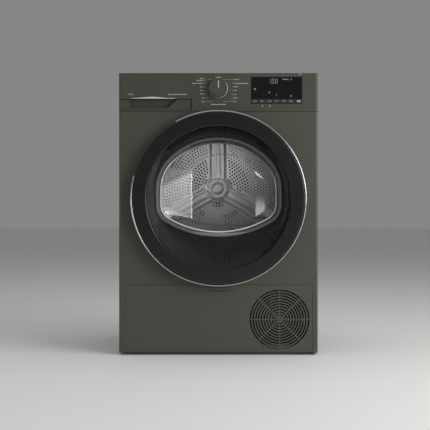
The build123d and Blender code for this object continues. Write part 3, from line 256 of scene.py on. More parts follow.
def newGroup(name, inputs, outputs):
    kinds = {float: "NodeSocketFloat", tuple: "NodeSocketColor", list: "NodeSocketVector"}
    group = bpy.data.node_groups.new(name, "ShaderNodeTree")
    for label, default in inputs.items():
        socket = group.interface.new_socket(label, in_out="INPUT", socket_type=kinds[type(default)])
        socket.default_value = default
    for label, kind in outputs.items():
        group.interface.new_socket(label, in_out="OUTPUT", socket_type=kinds[kind])
    return group, group.nodes.new("NodeGroupInput").outputs, group.nodes.new("NodeGroupOutput")


def makeSurfaceVariation():
    # slow drift between two colours and two roughness values
    group, given, end = newGroup(
        "surfaceVariation", {"Colour": (0.5, 0.5, 0.5, 1), "Other colour": (0.5, 0.5, 0.5, 1), "Scale": 6.0,
                             "Low roughness": 0.3, "High roughness": 0.5}, {"Colour": tuple, "Roughness": float})
    place = node(group, "ShaderNodeTexCoord").outputs["Object"]
    broad = node(group, "ShaderNodeTexNoise", {"Vector": place, "Scale": given["Scale"], "Detail": 3})
    fine = node(group, "ShaderNodeTexNoise", {"Vector": place, "Scale": 90, "Detail": 4})
    blend = node(group, "ShaderNodeMix", {"Factor": broad.outputs["Fac"], "A": given["Colour"],
                                          "B": given["Other colour"]}, data_type="RGBA")
    both = node(group, "ShaderNodeMath", {0: broad.outputs["Fac"], 1: fine.outputs["Fac"]}, operation="MULTIPLY")
    span = node(group, "ShaderNodeMapRange", {"Value": both.outputs[0], "From Min": 0.12, "From Max": 0.4,
                                              "To Min": given["Low roughness"], "To Max": given["High roughness"]})
    wire(group, end, {"Colour": blend.outputs["Result"], "Roughness": span.outputs["Result"]})
    return group


def makeFineGrain():
    # the pebble of moulded plastic or sprayed paint, as a height
    group, given, end = newGroup("fineGrain", {"Scale": 600.0, "Stretch": [1, 1, 1]}, {"Height": float})
    place = node(group, "ShaderNodeTexCoord").outputs["Object"]
    spread = node(group, "ShaderNodeVectorMath", {0: place, 1: given["Stretch"]}, operation="MULTIPLY").outputs[0]
    pebble = node(group, "ShaderNodeTexNoise", {"Vector": spread, "Scale": given["Scale"], "Detail": 5,
                                                "Roughness": 0.6})
    cells = node(group, "ShaderNodeTexVoronoi", {"Vector": spread, "Scale": given["Scale"]})
    total = node(group, "ShaderNodeMath", {0: cells.outputs["Distance"], 1: 0.35, 2: pebble.outputs["Fac"]},
                 operation="MULTIPLY_ADD")
    wire(group, end, {"Height": total.outputs[0]})
    return group


def makeDust():
    # a little dust that settles on faces that look up
    group, given, end = newGroup("settledDust", {"Colour": (0.5, 0.5, 0.5, 1), "Dust": (0.3, 0.29, 0.27, 1),
                                                 "Amount": 0.1}, {"Colour": tuple})
    normal = node(group, "ShaderNodeNewGeometry").outputs["Normal"]
    axes = node(group, "ShaderNodeSeparateXYZ", {0: normal})
    up = node(group, "ShaderNodeMapRange", {"Value": axes.outputs["Z"], "From Min": 0.5, "From Max": 1.0,
                                            "To Max": given["Amount"]})
    place = node(group, "ShaderNodeTexCoord").outputs["Object"]
    patch = node(group, "ShaderNodeTexNoise", {"Vector": place, "Scale": 14, "Detail": 6})
    amount = node(group, "ShaderNodeMath", {0: up.outputs["Result"], 1: patch.outputs["Fac"]}, operation="MULTIPLY")
    blend = node(group, "ShaderNodeMix", {"Factor": amount.outputs[0], "A": given["Colour"], "B": given["Dust"]},
                 data_type="RGBA")
    wire(group, end, {"Colour": blend.outputs["Result"]})
    return group


surfaceVariation = makeSurfaceVariation()
fineGrain = makeFineGrain()
settledDust = makeDust()


def principled(name):
    material = bpy.data.materials.new(name)
    material.use_nodes = True
    return material, material.node_tree, material.node_tree.nodes["Principled BSDF"]


def finish(name, colour, other, low, high, grain, bump, scale=6.0, stretch=(1, 1, 1), depth=0.0002, dust=0.0,
           shader=None):
    # a Principled finish with drifting colour and roughness and a fine grain
    material, tree, bsdf = principled(name)
    vary = node(tree, "ShaderNodeGroup", {"Colour": colour, "Other colour": other, "Scale": scale,
                                          "Low roughness": low, "High roughness": high}, node_tree=surfaceVariation)
    tone = vary.outputs["Colour"]
    if dust:
        tone = node(tree, "ShaderNodeGroup", {"Colour": tone, "Amount": dust}, node_tree=settledDust).outputs[0]
    pebble = node(tree, "ShaderNodeGroup", {"Scale": grain, "Stretch": stretch}, node_tree=fineGrain)
    relief = node(tree, "ShaderNodeBump", {"Strength": bump, "Distance": depth, "Height": pebble.outputs["Height"]})
    wire(tree, bsdf, {"Base Color": tone, "Roughness": vary.outputs["Roughness"], "Normal": relief.outputs["Normal"],
                      **(shader or {})})
    return material


# finishes

def makeWindowGlass():
    # clear glass that lets the light through to the drum
    material, tree, bsdf = principled("windowGlass")
    place = node(tree, "ShaderNodeTexCoord").outputs["Object"]
    smear = node(tree, "ShaderNodeTexNoise", {"Vector": place, "Scale": 18, "Detail": 4})
    span = node(tree, "ShaderNodeMapRange", {"Value": smear.outputs["Fac"], "To Min": 0.0, "To Max": 0.006})
    wire(tree, bsdf, {"Transmission Weight": 1.0, "IOR": 1.48, "Base Color": (0.93, 0.95, 0.95, 1),
                      "Roughness": span.outputs["Result"]})
    clear = node(tree, "ShaderNodeBsdfTransparent", {"Color": (0.9, 0.92, 0.92, 1)})
    ray = node(tree, "ShaderNodeLightPath").outputs["Is Shadow Ray"]
    mix = node(tree, "ShaderNodeMixShader", {"Fac": ray, 1: bsdf.outputs[0], 2: clear.outputs[0]})
    wire(tree, tree.nodes["Material Output"], {"Surface": mix.outputs[0]})
    return material


paintTone = linear(70, 70, 62)
paintShade = linear(66, 67, 58)
finishes = {
    "paint": finish("anthracitePaint", paintTone, paintShade, scale=2.2, low=0.36, high=0.46, grain=900, bump=0.05,
                    dust=0.08, shader={"Specular IOR Level": 0.4}),
    "paint_plastic": finish("anthraciteMoulding", paintTone, paintShade, scale=2.6, low=0.38, high=0.5, grain=1100,
                            bump=0.06, dust=0.08, shader={"Specular IOR Level": 0.4}),
    "fascia": finish("fasciaMoulding", linear(66, 67, 59), linear(62, 63, 54), scale=3, low=0.36, high=0.46,
                     grain=1200, bump=0.05, dust=0.08, shader={"Specular IOR Level": 0.35}),
    "tray": finish("trayMoulding", linear(92, 92, 89), linear(84, 84, 81), low=0.55, high=0.7, grain=500, bump=0.15),
    "galvanised": finish("galvanisedSheet", (0.5, 0.51, 0.53, 1), (0.4, 0.41, 0.43, 1), scale=40, low=0.35, high=0.55,
                         grain=200, bump=0.1, shader={"Metallic": 1.0}),
    "zinc": finish("zincPlate", (0.55, 0.55, 0.53, 1), (0.45, 0.45, 0.44, 1), scale=60, low=0.3, high=0.45,
                   grain=400, bump=0.08, shader={"Metallic": 1.0}),
    "display_glass": finish("displayGlass", linear(15, 15, 15), linear(18, 18, 19), scale=5, low=0.08, high=0.14,
                            grain=300, bump=0.01, shader={"Specular IOR Level": 0.3}),
    "board": finish("boardLaminate", (0.02, 0.12, 0.06, 1), (0.02, 0.09, 0.05, 1), scale=50, low=0.4, high=0.5,
                    grain=700, bump=0.1),
    "chrome": finish("trimChrome", (0.44, 0.44, 0.45, 1), (0.4, 0.4, 0.41, 1), scale=14, low=0.2, high=0.28,
                     grain=300, bump=0.01, shader={"Metallic": 1.0}),
    "tank_plastic": finish("tankMoulding", linear(196, 198, 198), linear(186, 189, 190), low=0.35, high=0.5,
                           grain=500, bump=0.08, shader={"Subsurface Weight": 0.1}),
    "grey_plastic": finish("greyMoulding", linear(128, 130, 130), linear(118, 120, 121), low=0.45, high=0.6,
                           grain=700, bump=0.12),
    "dark_plastic": finish("darkMoulding", linear(46, 46, 47), linear(38, 38, 39), low=0.42, high=0.6, grain=700,
                           bump=0.12),
    "roller": finish("rollerRubber", linear(40, 40, 40), linear(52, 51, 50), low=0.6, high=0.8, grain=400, bump=0.2),
    "felt": finish("feltRing", linear(150, 146, 138), linear(128, 124, 117), scale=80, low=0.85, high=0.98,
                   grain=1500, bump=0.6, depth=0.0006, shader={"Sheen Weight": 0.5}),
    "door_gloss": finish("doorGloss", linear(13, 13, 14), linear(11, 11, 12), scale=4, low=0.25, high=0.31, grain=900,
                         bump=0.004, shader={"Specular IOR Level": 0.5}),
    "frame_grey": finish("frameMoulding", linear(84, 85, 82), linear(76, 77, 75), scale=7, low=0.3, high=0.42,
                         grain=800, bump=0.05),
    "glass": makeWindowGlass(),
    "rubber": finish("sealRubber", linear(38, 38, 38), linear(48, 48, 47), low=0.6, high=0.75, grain=500, bump=0.15),
    "stainless": finish("drumSteel", (0.66, 0.66, 0.65, 1), (0.58, 0.58, 0.575, 1), scale=9, low=0.3, high=0.38,
                        grain=160, stretch=(1, 1, 0.06), bump=0.035, shader={"Metallic": 1.0}),
    "lifter": finish("lifterMoulding", linear(205, 206, 204), linear(194, 195, 194), low=0.3, high=0.42, grain=600,
                     bump=0.05),
    "exchanger": finish("finnedAluminium", (0.62, 0.63, 0.65, 1), (0.5, 0.51, 0.53, 1), scale=30, low=0.3, high=0.5,
                        grain=300, stretch=(8, 1, 1), bump=0.3, depth=0.0006, shader={"Metallic": 1.0}),
    "motor": finish("castMotor", (0.4, 0.4, 0.41, 1), (0.3, 0.3, 0.31, 1), scale=40, low=0.4, high=0.65, grain=260,
                    bump=0.3, shader={"Metallic": 0.9}),
    "compressor_black": finish("compressorPaint", linear(28, 28, 29), linear(36, 36, 36), scale=12, low=0.28,
                               high=0.42, grain=240, bump=0.1, shader={"Coat Weight": 0.3}),
}
whitePrint = finish("whitePrint", linear(214, 214, 208), linear(200, 200, 194), scale=60, low=0.4, high=0.5,
                    grain=900, bump=0.03)
greyPrint = finish("greyPrint", linear(166, 168, 164), linear(154, 156, 152), scale=60, low=0.4, high=0.5,
                   grain=900, bump=0.03)
# dark finish painted as the shade in narrow gaps, slots and screw recesses
seamShade = finish("slotShade", linear(22, 22, 21), linear(16, 16, 16), scale=20, low=0.7, high=0.85, grain=400,
                   bump=0.1)
dialFinish = finish("dialRingSatin", linear(200, 201, 200), linear(186, 187, 186), scale=30, low=0.22, high=0.32,
                    grain=500, bump=0.01, shader={"Metallic": 0.45})
for name, piece in nodes.items():
    piece.data.materials.clear()
    piece.data.materials.append(dialFinish if name == "dial_ring" else finishes[slotOf[name]])
print("finishes are on", len(nodes), "parts")


# cabinet panels with broken edges

edgeWidths = {
    "side_panel_left": 0.0006, "side_panel_right": 0.0006, "front_panel": 0.0007, "control_fascia": 0.0008,
    "tank_drawer_front": 0.0012, "service_flap": 0.002, "flap_button": 0.0012,
    "display_window": 0.0005, "worktop": 0.0008, "base_tray": 0.0008,
}
for name, width in edgeWidths.items():
    easedCopy(name, width)
print("panel edges are eased")


# outlines of the window and of the bowl's flat end

windowShape = {"x": 0.0, "halfWidth": 0.1885, "top": 0.652, "bottom": 0.3546, "topRadius": 0.2125,
               "bottomRadius": 0.31, "sideTop": 0.4973, "sideBottom": 0.452, "pointsPerArc": 26, "sideSteps": 6}
bowlShape = {"x": 0.0135, "halfWidth": 0.0885, "top": 0.604, "bottom": 0.392, "topRadius": 0.13,
             "bottomRadius": 0.3, "sideTop": 0.55, "sideBottom": 0.411}


def blendRadius(big, half, drop):
    return (big ** 2 - half ** 2 - drop ** 2) / (2 * (big - half))


def outlineOf(shape, grow=0.0):
    # a wide arc above and below, joined to upright sides by the round corners that meet both
    count, steps = windowShape["pointsPerArc"], windowShape["sideSteps"]
    half, x = shape["halfWidth"], shape["x"]
    topZ, lowZ = shape["top"] - shape["topRadius"], shape["bottom"] + shape["bottomRadius"]
    shoulder = blendRadius(shape["topRadius"], half, shape["sideTop"] - topZ)
    corner = blendRadius(shape["bottomRadius"], half, shape["sideBottom"] - lowZ)
    rise = math.atan2(shape["sideTop"] - topZ, half - shoulder)
    fall = math.atan2(lowZ - shape["sideBottom"], half - corner)
    right, left = x + half - shoulder, x - half + shoulder
    points = arcPoints((right, shape["sideTop"]), shoulder + grow, 0, rise, count)
    points += arcPoints((x, topZ), shape["topRadius"] + grow, rise, math.pi - 2 * rise, 2 * count)
    points += arcPoints((left, shape["sideTop"]), shoulder + grow, math.pi - rise, rise, count)
    step = (shape["sideTop"] - shape["sideBottom"]) / steps
    points += [(x - half - grow, shape["sideTop"] - step * i) for i in range(steps)]
    points += arcPoints((x - half + corner, shape["sideBottom"]), corner + grow, math.pi, fall, count)
    points += arcPoints((x, lowZ), shape["bottomRadius"] + grow, math.pi + fall, math.pi - 2 * fall, 2 * count)
    points += arcPoints((x + half - corner, shape["sideBottom"]), corner + grow, -fall, fall, count)
    points += [(x + half + grow, shape["sideBottom"] + step * i) for i in range(steps)]
    return points


def windowPoints(grow):
    return outlineOf(windowShape, grow)


middleRise = 0.012   # the bearings' middle, above the middle of the window's upright sides
windowMiddle = (0.0, (windowShape["sideTop"] + windowShape["sideBottom"]) / 2 + middleRise)


def bearings(outline):
    return [math.atan2(z - windowMiddle[1], x - windowMiddle[0]) for x, z in outline]


def circleAlong(angles, radius):
    # points of the door's circle seen from the middle of the window at the same bearings
    points = []
    offset = windowMiddle[1] - doorZ
    for angle in angles:
        b = offset * math.sin(angle)
        reach = -b + math.sqrt(b * b - offset * offset + radius * radius)
        points.append((windowMiddle[0] + reach * math.cos(angle), windowMiddle[1] + reach * math.sin(angle)))
    return points


# door

doorSizes = {"ringOuter": ringHigh.x, "ringInner": 0.214, "edge": 0.0022, "edgeSteps": 4, "flatSteps": 8,
             "lip": 0.004, "lipSteps": 6, "funnelBack": doorFront + 0.0345, "funnelSteps": 22, "funnelBend": 0.85,
             "windowLap": 0.001, "ringWall": 0.0022, "funnelWall": 0.0014, "smoothBelow": 40}


def makeDoorFace():
    # flat annulus with rolled edges, then the funnel that runs down to the window, as one row of rings
    size = doorSizes
    window = windowPoints(size["windowLap"])
    angles = bearings(window)
    outer, inner, edge, lip = size["ringOuter"], size["ringInner"], size["edge"], size["lip"]
    rings = [ringAt(circleAlong(angles, outer - edge + edge * math.cos(a)), doorFront + edge - edge * math.sin(a))
             for a in quarter(size["edgeSteps"])]
    flat = outer - inner - edge
    rings += [ringAt(circleAlong(angles, outer - edge - flat * i / size["flatSteps"]), doorFront)
              for i in range(1, size["flatSteps"])]
    rings += [ringAt(circleAlong(angles, inner + lip - lip * math.sin(a)), doorFront + lip - lip * math.cos(a))
              for a in quarter(size["lipSteps"])[:-1]]
    rim = circleAlong(angles, inner)
    depth = size["funnelBack"] - doorFront - lip
    for i in range(size["funnelSteps"] + 1):
        t = i / size["funnelSteps"]
        y = doorFront + lip + depth * math.sin(t * math.pi / 2) ** size["funnelBend"]
        rings.append(ringAt(mixOutlines(rim, window, t), y))
    return rings


size = doorSizes
doorRings = makeDoorFace()
split = len(doorRings) - size["funnelSteps"] - 1
annulus = outward(pieceFrom("doorAnnulus", *skin(doorRings[:split + 1])))
funnel = pieceFrom("doorFunnelSkin", *skin(doorRings[split:]))
smoothByAngle(walled(annulus, size["ringWall"]), size["smoothBelow"])
smoothByAngle(walled(funnel, size["funnelWall"]), size["smoothBelow"])
settle(annulus, "door", finishes["door_gloss"], ["door_front_ring"])
funnelFinish = finish("funnelSatin", linear(10, 10, 11), linear(8, 8, 9), scale=4, low=0.4, high=0.5, grain=400,
                      bump=0.03, shader={"Specular IOR Level": 0.25})
studFinish = finish("funnelStudSatin", linear(30, 30, 31), linear(26, 26, 27), scale=4, low=0.25, high=0.34,
                    grain=400, bump=0.02)
settle(funnel, "door", funnelFinish, ["door_funnel"])
print("door face made")


# repeated details, by Geometry Nodes

def makeStudTree():
    # one small many-sided stud at each point, its axis along the point's own facing
    tree = bpy.data.node_groups.new("studsOnPoints", "GeometryNodeTree")
    for label, kind in (("Geometry", "Geometry"), ("Sides", "Int"), ("Foot radius", "Float"), ("Top radius", "Float"),
                        ("Height", "Float"), ("Sink", "Float"), ("Turn", "Float"), ("Stretch", "Vector"),
                        ("Material", "Material")):
        socket = tree.interface.new_socket(label, in_out="INPUT", socket_type="NodeSocket" + kind)
        if label == "Stretch":
            socket.default_value = (1.0, 1.0, 1.0)
    tree.interface.new_socket("Geometry", in_out="OUTPUT", socket_type="NodeSocketGeometry")
    given, end = tree.nodes.new("NodeGroupInput").outputs, tree.nodes.new("NodeGroupOutput")
    cone = node(tree, "GeometryNodeMeshCone", {
        "Side Segments": 1, "Vertices": given["Sides"], "Radius Bottom": given["Foot radius"],
        "Radius Top": given["Top radius"], "Depth": given["Height"]})
    lower = node(tree, "ShaderNodeMath", {0: given["Sink"], 1: -1}, operation="MULTIPLY")
    offset = node(tree, "ShaderNodeCombineXYZ", {"Z": lower.outputs[0]})
    turned = node(tree, "ShaderNodeCombineXYZ", {"Z": given["Turn"]})
    shape = node(tree, "GeometryNodeTransform", {"Geometry": cone.outputs["Mesh"], "Translation": offset.outputs[0],
                                                 "Rotation": turned.outputs[0]})
    drawn = node(tree, "GeometryNodeTransform", {"Geometry": shape.outputs[0], "Scale": given["Stretch"]})
    facing, along = [node(tree, "GeometryNodeInputNamedAttribute", {"Name": label}, data_type="FLOAT_VECTOR")
                     for label in ("facing", "along")]
    upward = node(tree, "FunctionNodeAlignEulerToVector", {"Vector": facing.outputs["Attribute"]}, axis="Z")
    settled = node(tree, "FunctionNodeAlignEulerToVector", {"Rotation": upward.outputs["Rotation"],
                                                            "Vector": along.outputs["Attribute"]},
                   axis="X", pivot_axis="Z")
    place = node(tree, "GeometryNodeInstanceOnPoints", {"Points": given["Geometry"], "Instance": drawn.outputs[0],
                                                        "Rotation": settled.outputs["Rotation"]})
    real = node(tree, "GeometryNodeRealizeInstances", {0: place.outputs[0]})
    paint = node(tree, "GeometryNodeSetMaterial", {"Geometry": real.outputs[0], "Material": given["Material"]})
    wire(tree, end, {0: paint.outputs[0]})
    return tree


studTree = makeStudTree()


def studs(name, places, material, **sizes):
    # places: (point, facing, along) for each stud
    mesh = bpy.data.meshes.new(name)
    mesh.from_pydata([tuple(place[0]) for place in places], [], [])
    for label, index in (("facing", 1), ("along", 2)):
        data = mesh.attributes.new(label, "FLOAT_VECTOR", "POINT")
        data.data.foreach_set("vector", [c for place in places for c in place[index]])
    piece = pieceFromMesh(name, mesh)
    modifier = piece.modifiers.new("Studs", "NODES")
    modifier.node_group = studTree
    sockets = {item.name: item.identifier for item in studTree.interface.items_tree if item.in_out == "INPUT"}
    for label, value in sizes.items():
        modifier[sockets[label.replace("_", " ")]] = value
    modifier[sockets["Material"]] = material
    applied(piece)
    piece.data.shade_flat()
    return piece


def settleStuds(name, body, slot, places, material, **sizes):
    piece = settle(studs(name, places, material, **sizes), body, material)
    print(name, "have", len(piece.data.polygons), "faces")


# funnel studs

studSizes = {"pitch": 0.0074, "foot": 0.0021, "top": 0.0012, "height": 0.0007, "rimGap": 0.004,
             "windowGap": 0.004, "steepFrom": 0.14, "castFrom": 0.01}
rowRatio = 1.1547   # row pitch to column pitch, so that neighbours stand equally far apart
sideReach = 0.74   # bearing, above and below level, that the closer side rows cover


def insideOutline(outline, x, z):
    inside = False
    for (x0, z0), (x1, z1) in zip(outline, outline[1:] + outline[:1]):
        if (z0 > z) != (z1 > z) and x < (x1 - x0) * (z - z0) / (z1 - z0) + x0:
            inside = not inside
    return inside


def surfaceOf(piece):
    bm = bmesh.new()
    bm.from_mesh(piece.data)
    tree = BVHTree.FromBMesh(bm)
    bm.free()
    return tree


def placeOn(surface, x, z):
    # the point and facing of the funnel straight behind (x, z), or nothing where there is no surface
    hit, normal, *_ = surface.ray_cast(Vector((x, doorFront - studSizes["castFrom"], z)), Vector((0, 1, 0)))
    return [(hit, -normal if normal.y > 0 else normal, (0, 0, 1))] if hit else []


def funnelPlaces():
    size = studSizes
    surface = surfaceOf(funnel)
    keepOut = windowPoints(size["windowGap"])
    reach = doorSizes["ringInner"] - size["rimGap"]
    step = size["pitch"] * rowRatio
    columns, rows = int(reach / size["pitch"]), int(reach / step) + 1
    places = []
    for column in range(-columns, columns + 1):
        x = column * size["pitch"]
        shift = step / 2 if column % 2 else 0
        for row in range(-rows, rows + 1):
            z = doorZ + row * step + shift
            steep = abs(x) > size["steepFrom"] and abs(z - windowMiddle[1]) < abs(x) * math.tan(sideReach)
            if not (steep or math.hypot(x, z - doorZ) > reach or insideOutline(keepOut, x, z)):
                places += placeOn(surface, x, z)
    return places


size = studSizes
settleStuds("funnelStuds", "door", "door_gloss", funnelPlaces(), studFinish, Sides=8, Foot_radius=size["foot"],
            Top_radius=size["top"], Height=size["height"], Sink=0.0)

sideStudSizes = {"rows": (0.08, 0.18, 0.28, 0.38, 0.48, 0.58, 0.68), "brightLeft": (0.08, 0.58),
                 "brightRight": (0.28, 0.48), "brightReach": 0.66, "taper": 0.45, "pitch": 0.0056, "foot": 0.0019,
                 "top": 0.0012, "height": 0.0008}


def sideStudPlaces(bright):
    # closer rows of studs on the steep walls left and right of the window, some painted lighter as the highlights
    # these walls catch
    size = sideStudSizes
    surface = surfaceOf(funnel)
    window = windowPoints(doorSizes["windowLap"])
    angles = bearings(window)
    rim = circleAlong(angles, doorSizes["ringInner"])
    places = []
    for row, t in enumerate(size["rows"]):
        path = mixOutlines(rim, window, t)
        travelled = size["pitch"] / 2 * (row % 2)
        for (x0, z0), (x1, z1), angle in zip(path, path[1:] + path[:1], angles):
            length = math.hypot(x1 - x0, z1 - z0)
            while travelled < length:
                share = travelled / length
                x, z = x0 + (x1 - x0) * share, z0 + (z1 - z0) * share
                travelled += size["pitch"]
                first, last = size["brightRight" if x > 0 else "brightLeft"]
                rise = abs(math.sin(angle))
                shines = first <= t <= last and rise < math.sin(size["brightReach"] - size["taper"] * t)
                if rise <= math.sin(sideReach) and shines == bright:
                    places += placeOn(surface, x, z)
            travelled -= length
    return places


size = sideStudSizes
# the lighter studs are painted highlights where the steep walls catch the light
sideStudHighlight = finish("sideStudPaintedHighlight", linear(84, 84, 83), linear(74, 74, 73), scale=4, low=0.25, high=0.34,
                        grain=400, bump=0.02)
for label, bright, look in (("brightSideStuds", True, sideStudHighlight), ("darkSideStuds", False, studFinish)):
    settleStuds(label, "door", "door_gloss", sideStudPlaces(bright), look, Sides=8, Foot_radius=size["foot"],
                Top_radius=size["top"], Height=size["height"], Sink=0.0)


# chrome trim round the door, open at the grip

trimSizes = {"outer": boxOf("door_trim_ring")[1].x, "width": 0.0057, "front": boxOf("door_trim_ring")[0].y,
             "depth": 0.0215, "round": 0.0028, "roundSteps": 5, "nose": 0.0017, "segments": 240, "gripStart": 119.0,
             "gripEnd": 165.0, "hingeHalf": 0.032, "hingeDepth": 0.0095, "hingeSlack": 0.01, "smoothBelow": 50}


def trimSection(deep):
    # half section of the trim from its inner foot over its polished nose and its shoulder to its outer foot
    size = trimSizes
    outer, inner, front = size["outer"], size["outer"] - size["width"], size["front"]
    r, nose = size["round"], size["nose"]
    step = outer - r - nose
    section = [(inner, front + deep), (inner, front + r + nose), (step, front + r)]
    section += [(step + nose - nose * math.cos(a), front + nose - nose * math.sin(a))
                for a in quarter(size["roundSteps"], 1)]
    section += [(outer - r + r * math.sin(a), front + r - r * math.cos(a)) for a in quarter(size["roundSteps"])]
    return section + [(outer, front + deep)]


def makeTrim():
    # open at the grip, and shallower where the hinge passes behind it
    size = trimSizes
    start, end = math.radians(size["gripEnd"]), math.radians(size["gripStart"] + 360)
    notch = math.asin(size["hingeHalf"] / size["outer"]) + size["hingeSlack"]
    rings = []
    for i in range(size["segments"] + 1):
        angle = start + (end - start) * i / size["segments"]
        fromHinge = (angle + math.pi) % (2 * math.pi) - math.pi
        deep = size["hingeDepth"] if abs(fromHinge) < notch else size["depth"]
        rings.append([(r * math.cos(angle), y, doorZ + r * math.sin(angle)) for r, y in trimSection(deep)])
    return smoothByAngle(outward(pieceFrom("chromeTrim", *cappedSkin(rings))), size["smoothBelow"])


settle(makeTrim(), "door", finishes["chrome"], ["door_trim_ring"])
print("chrome trim made")


# grey frame round the window

frameFront, frameBack = boxOf("window_frame")[0].y, boxOf("window_frame")[1].y
frameSizes = {"outer": 0.0004, "inner": -0.012, "chamferBack": 0.0095, "smoothBelow": 60,
              "nose": ((-0.0003, 0.0018), (-0.0013, 0.0005), (-0.0026, 0.0), (-0.004, 0.0003), (-0.0052, 0.0012)),
              "noseBack": 0.0042, "slotCount": 23, "slotPitch": 0.0082, "slotIn": 0.0088, "slotBack": 0.0054,
              "slotLean": -0.03, "slotFacing": (0.63, 0.78), "slotFoot": 0.0036, "slotTop": 0.0034,
              "slotHeight": 0.0006, "slotStretch": 1.25}


def frameRing(grow, y):
    return ringAt(windowPoints(grow), y)


def makeWindowFrame():
    # nose: how far each point stands outside the window's outline, and behind the frame's front
    size = frameSizes
    section = [(size["outer"], frameBack), (size["outer"], frameFront + size["noseBack"])]
    section += [(grow, frameFront + back) for grow, back in size["nose"]]
    section += [(size["inner"], frameFront + size["chamferBack"]), (size["inner"], frameBack)]
    points, faces = skin([frameRing(grow, y) for grow, y in section], closedPath=True)
    return smoothByAngle(outward(pieceFrom("windowFrame", points, faces)), size["smoothBelow"])


settle(makeWindowFrame(), "door", finishes["frame_grey"], ["window_frame"])


def frameSlotPlaces():
    # a row of dark studs along the top of the frame's inner slope, painted as the shade inside its slots
    size = frameSizes
    topZ = windowShape["top"] - windowShape["topRadius"]
    radius = windowShape["topRadius"] - size["slotIn"]
    forward, down = size["slotFacing"]
    places = []
    for i in range(size["slotCount"]):
        angle = math.pi / 2 + size["slotLean"] + (i - (size["slotCount"] - 1) / 2) * size["slotPitch"] / radius
        place = Vector((radius * math.cos(angle), frameFront + size["slotBack"], topZ + radius * math.sin(angle)))
        radial = Vector((math.cos(angle), 0, math.sin(angle)))
        facing = (Vector((0, -forward, 0)) - radial * down).normalized()
        places.append((place, facing, Vector((-math.sin(angle), 0, math.cos(angle)))))
    return places


size = frameSizes
# dark studs painted as the shade inside the frame's slots
settleStuds("frameSlotShades", "door", "dark_plastic", frameSlotPlaces(), seamShade, Sides=4, Foot_radius=size["slotFoot"],
            Top_radius=size["slotTop"], Height=size["slotHeight"], Sink=size["slotHeight"] / 2, Turn=math.pi / 4,
            Stretch=(1.0, size["slotStretch"], 1.0))

frameLipSizes = {"inset": 0.0012, "reach": 0.094, "steps": 64, "tall": 0.0102, "taper": 0.8, "least": 0.0006,
                 "swell": 0.0014, "swellHalf": 0.017, "sectionSteps": 8, "foot": 0.0012, "bulge": 0.0022,
                 "bulgeBend": 0.6, "slope": 0.002, "back": 0.006, "smoothBelow": 50}


def makeFrameLip():
    # crescent on the bottom of the frame with a small thumb swell at its middle, raised and also painted lighter as
    # its highlight
    size = frameLipSizes
    lowZ = windowShape["bottom"] + windowShape["bottomRadius"]
    radius = windowShape["bottomRadius"] - size["inset"]
    rings = []
    for i in range(size["steps"] + 1):
        x = size["reach"] * (2 * i / size["steps"] - 1)
        low = lowZ - math.sqrt(radius ** 2 - x ** 2)
        tall = size["tall"] * max(0.0, 1 - (x / size["reach"]) ** 2) ** size["taper"] + size["least"]
        tall += size["swell"] * max(0.0, 1 - (abs(x) / size["swellHalf"]) ** 4)
        ring = []
        for k in range(size["sectionSteps"] + 1):
            t = k / size["sectionSteps"]
            bulge = size["bulge"] * math.sin(math.pi * t) ** size["bulgeBend"]
            ring.append((x, frameFront + size["foot"] - bulge + size["slope"] * t, low + tall * t))
        rings.append(ring + [(x, frameFront + size["back"], low + tall * 0.5)])
    return smoothByAngle(outward(pieceFrom("frameLip", *cappedSkin(rings))), size["smoothBelow"])


# lighter finish painted as the highlight on the frame's bottom lip
frameLipHighlight = finish("frameLipPaintedHighlight", linear(122, 123, 120), linear(112, 113, 110), scale=9, low=0.18, high=0.3,
                   grain=700, bump=0.03, shader={"Metallic": 0.2})
settle(makeFrameLip(), "door", frameLipHighlight)
print("window frame made")


# glass bowl

glassSizes = {"front": boxOf("door_glass")[0].y, "back": boxOf("door_glass")[1].y, "flange": 0.005,
              "flangeInner": -0.006, "rim": -0.0145, "shoulder": 0.004, "wall": 0.003, "steps": 10, "roundSteps": 6,
              "endRound": 0.1, "endRings": (0.06, 0.3, 0.6, 0.85), "rightBend": 1.6, "bendFrom": 0.02, "bendTo": 0.1,
              "smoothBelow": 45}


def bowlOutline(rim, end, t):
    # the right-hand wall starts steep and flattens towards the end
    size = glassSizes
    right = t ** size["rightBend"]
    mixed = []
    for a, b in zip(rim, end):
        share = t + (right - t) * smoothStep(size["bendFrom"], size["bendTo"], a[0])
        mixed.append((a[0] + (b[0] - a[0]) * share, a[1] + (b[1] - a[1]) * share))
    return mixed


